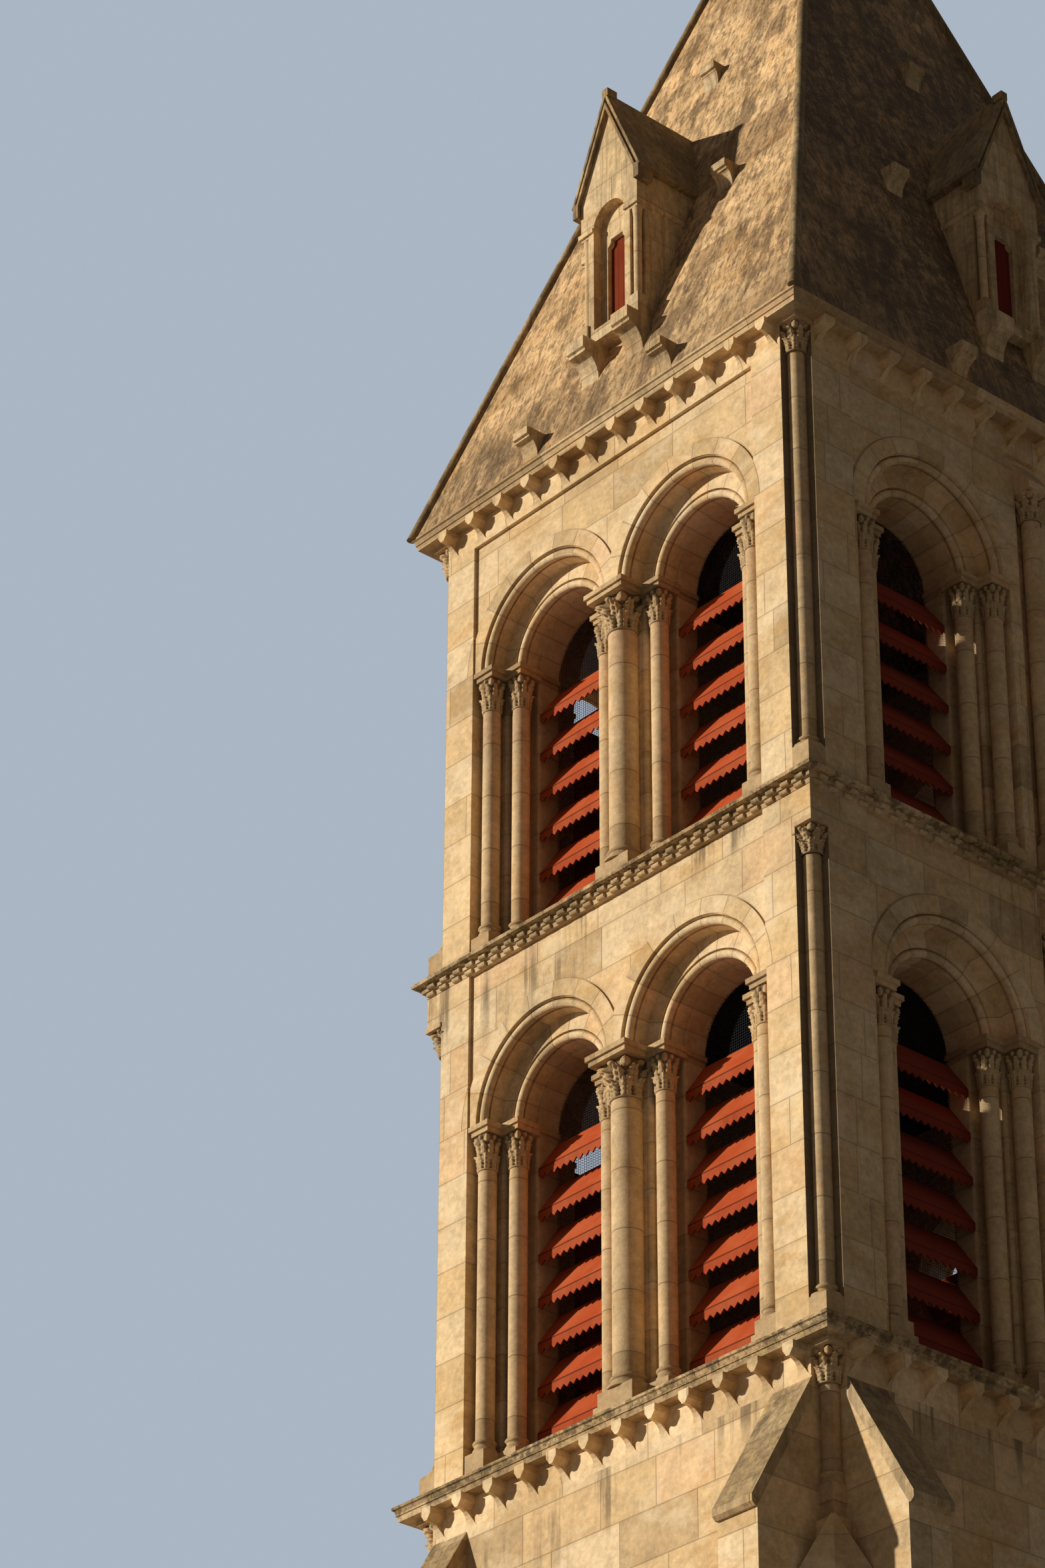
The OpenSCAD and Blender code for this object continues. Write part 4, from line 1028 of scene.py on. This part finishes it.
@dataclass
class CarvedCapitals:
    """Every carved capital of the tower, laid over the plain bells of the solids."""
    finishes: Finishes
    jamb: Capital = Capital(0.083, 0.117, CAPITAL)
    middle: Capital = Capital(0.138, 0.245, CAPITAL, around=96, rows=52)
    corner: Capital = Capital(0.096, 0.166, 0.300)
    stage: Capital = Capital(0.092, 0.178, 0.254)
    tall: Capital = Capital(0.098, 0.168, 0.300)
    middle_depth: float = 0.130
    tall_depth: float = -0.040
    corner_feet: tuple[float, ...] = (16.359, 26.309)
    stage_feet: tuple[float, ...] = (21.133,)
    tall_feet: tuple[float, ...] = (21.052, 25.670)

    def jambs(self, foot: float) -> np.ndarray:
        """Feet of the capitals of the jamb shafts of one stage.

        Args:
            foot: Height of the feet.

        Returns:
            One point for each inner and each outer shaft, face by face.
        """
        found: list[np.ndarray] = []
        for face in Face:
            for (run, depth), ways in ((INNER_SHAFT, (-1, 1)),
                                       (OUTER_SHAFT, (-1, 1) if face.wide else (1,))):
                across = [side * (face.bay + way * run) for side in (-1, 1) for way in ways]
                found.append(face.place(across, depth, foot))
        return np.concatenate(found)

    def middles(self, feet: Iterable[float], depth: float, wide: bool) -> np.ndarray:
        """Feet of the capitals in the middle of the wide or the narrow faces."""
        return np.stack([face.place(0.0, depth, foot) for foot in feet for face in Face
                         if face.wide is wide])

    def corners(self, feet: Iterable[float]) -> np.ndarray:
        """Feet of the capitals of the four corner shafts at each height."""
        x, y = HALF_X - CORNER_AXIS, HALF_Y - CORNER_AXIS
        return np.array([(sx * x, sy * y, foot) for foot in feet for sx in (-1, 1)
                         for sy in (-1, 1)])

    def add(self, name: str, capital: Capital, feet: np.ndarray, *replaced: str) -> None:
        """Stand one kind of capital on its feet, as one piece in place of some solids."""
        fit_out(capital.stand(name, feet), self.finishes.carved, "weathered_stone", *replaced)

    def build(self) -> None:
        """Make the capitals, one piece for each stage and kind."""
        for name, spring in (("lower", LOWER_SPRING), ("upper", UPPER_SPRING)):
            foot = spring - IMPOST - CAPITAL
            hidden = f"{name}_capitals"
            self.add(f"{name}_carved_capitals", self.jamb, self.jambs(foot), hidden)
            self.add(f"{name}_middle_capitals", self.middle,
                     self.middles((foot,), self.middle_depth, False), hidden)
        self.add("corner_capitals", self.corner, self.corners(self.corner_feet))
        self.add("stage_corner_capitals", self.stage, self.corners(self.stage_feet))
        self.add("tall_shaft_capitals", self.tall,
                 self.middles(self.tall_feet, self.tall_depth, True))


@dataclass
class BirdNetting:
    """Wire netting behind the louvres of every opening."""
    finishes: Finishes
    depth: float = 0.645
    columns: int = 25

    def build(self) -> None:
        """Make one arched sheet for each opening, its top following the arch."""
        run = np.linspace(-CLEAR, CLEAR, self.columns)[None, :]
        patches: list[np.ndarray] = []
        for spring, foot in ((LOWER_SPRING, LOWER_FOOT), (UPPER_SPRING, UPPER_FOOT)):
            head = spring + np.sqrt(np.clip(CLEAR ** 2 - run ** 2, 0.0, None))
            height = np.concatenate((np.full_like(run, foot), head))
            for face in Face:
                for side in (-1.0, 1.0):
                    patches.append(face.place(side * face.bay + run, self.depth, height))
        fit_out(tube_mesh("bird_netting", np.stack(patches), closed=False),
                self.finishes.netting, "louvre_paint")


def staged(*pieces: str) -> list[str]:
    """Names of the pieces that both belfry stages have."""
    return [f"{stage}_{piece}" for stage in ("lower", "upper") for piece in pieces]


@dataclass
class Solids:
    """The solids that stay in view, each with its finish."""
    finishes: Finishes

    def coat(self, material: Material, *names: str) -> None:
        """Give solids a finish.

        Args:
            material: The finish.
            names: Names of the solids.
        """
        for name in names:
            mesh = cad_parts[name].data
            mesh.materials.clear()
            mesh.materials.append(material)
        LOG.info("%s on %s", material.name, ", ".join(names))

    def dress(self) -> None:
        """Give every solid its finish."""
        kit = self.finishes
        walls = ("front_wall", "back_wall", "left_wall", "right_wall")
        self.coat(kit.wall, "plinth", *(f"shaft_{wall}" for wall in walls), "buttresses",
                  "corner_piers", *staged(*walls, "arch_rolls", "corbel_table"), "belfry_floors")
        self.coat(kit.dormer, "dormer_fronts", "spire_brackets", "buttress_weatherings")
        self.coat(kit.drum, *staged("corner_shafts", "jamb_shafts", "centre_columns"),
                  "base_corner_shafts", "dormer_colonnettes")
        self.coat(kit.ledge, *staged("cornice", "imposts"), "billet_string")
        self.coat(kit.mossy, "spire_hip_rolls", "dormer_roofs", "spire_cap")
        self.coat(kit.carved, *staged("capitals"))
        self.coat(kit.spire, "spire_shell")
        self.coat(kit.louvre, *staged("louvres"))
        self.coat(kit.shutter, "dormer_shutters")


@dataclass(frozen=True)
class Studio:
    """Camera, lamps, floor and background."""
    eye: tuple[float, float, float] = (25.814, -26.004, 1.6)
    azimuth: float = 49.49
    elevation: float = 31.57
    roll: float = 0.33
    focal: float = 6921.0
    frame_height: float = 2352.0
    sensor: float = 24.0
    farthest: float = 500.0
    key_azimuth: float = -38.5
    key_elevation: float = 17.0
    key_strength: float = 3.9
    key_softness: float = 1.4
    fill_strength: float = 0.083
    fill: Colour = (1.0, 0.90, 0.90)
    backdrop: Colour = linear(170, 182, 196)
    floor_reach: float = 150.0
    floor_tone: float = 0.34
    floor_seen: float = 0.58

    def camera(self) -> None:
        """Stand the camera where the photograph was taken.

        The view looks from the eye along the azimuth, measured from +Y towards -X, and up
        by the elevation, and is then turned about its own axis by the roll.
        """
        az, el, roll = (math.radians(v) for v in (self.azimuth, self.elevation, self.roll))
        ahead = Vector((-math.sin(az) * math.cos(el), math.cos(az) * math.cos(el), math.sin(el)))
        side = ahead.cross(Vector((0.0, 0.0, 1.0))).normalized()
        top = side.cross(ahead)
        side, top = (math.cos(roll) * side + math.sin(roll) * top,
                     math.cos(roll) * top - math.sin(roll) * side)
        data = bpy.data.cameras.new("camera")
        data.sensor_fit = "VERTICAL"
        data.sensor_height = self.sensor
        data.sensor_width = self.sensor
        data.lens = self.focal / self.frame_height * self.sensor
        data.clip_end = self.farthest
        camera = bpy.data.objects.new("camera", data)
        turn = Matrix((side, top, -ahead)).transposed().to_4x4()
        camera.matrix_world = Matrix.Translation(self.eye) @ turn
        bpy.context.scene.collection.objects.link(camera)
        bpy.context.scene.camera = camera

    def lamps(self) -> None:
        """Set up the key lamp, from the front left, and the even fill."""
        data = bpy.data.lights.new("key", "SUN")
        data.energy = self.key_strength
        data.angle = math.radians(self.key_softness)
        lamp = bpy.data.objects.new("key", data)
        az, el = math.radians(self.key_azimuth), math.radians(self.key_elevation)
        towards = Vector((math.sin(az) * math.cos(el), -math.cos(az) * math.cos(el),
                          math.sin(el)))
        lamp.rotation_mode = "QUATERNION"
        lamp.rotation_quaternion = towards.to_track_quat("Z", "Y")
        bpy.context.scene.collection.objects.link(lamp)
        self.surround()

    def surround(self) -> None:
        """Light with the fill, and show the backdrop to the camera and in reflections."""
        world = bpy.data.worlds.new("studio")
        bpy.context.scene.world = world
        g = Graph("studio", world)
        camera = g.node("ShaderNodeLightPath", {}, {}, "Is Camera Ray")
        seen = camera.most(camera.beside("Is Glossy Ray"))
        soft = g.node("ShaderNodeBackground", {}, {0: self.fill, 1: self.fill_strength})
        pale = g.node("ShaderNodeBackground", {}, {0: self.backdrop})
        mixed = g.node("ShaderNodeMixShader", {}, {0: seen, 1: soft, 2: pale})
        g.end("ShaderNodeOutputWorld", mixed)

    def floor(self) -> None:
        """Lay a plain pale floor, which isn't part of the tower.

        It looks paler to the camera than it is, so that it throws little light upwards.
        """
        reach = self.floor_reach
        mesh = bpy.data.meshes.new("floor")
        mesh.from_pydata([(-reach, -reach, 0.0), (reach, -reach, 0.0), (reach, reach, 0.0),
                          (-reach, reach, 0.0)], [], [(0, 1, 2, 3)])
        ground = bpy.data.objects.new("floor", mesh)
        bpy.context.scene.collection.objects.link(ground)
        g = Graph("floor")
        seen = g.node("ShaderNodeLightPath", {}, {}, "Is Camera Ray")
        tone = FLOOR.value(g, g.place()) * 0.02 + seen * self.floor_seen + self.floor_tone
        mesh.materials.append(g.finish(g.vector(tone, tone, tone), 0.9))

    def build(self) -> None:
        """Set up the whole studio."""
        self.camera()
        self.lamps()
        self.floor()
        bpy.context.scene.view_settings.view_transform = "Standard"


def main() -> None:
    """Build the classes in order."""
    logging.basicConfig(level=logging.INFO, format="%(message)s")
    Studio().build()
    finishes = Finishes()
    Solids(finishes).dress()
    CarvedCapitals(finishes).build()
    BirdNetting(finishes).build()


if __name__ == "__main__":
    main()
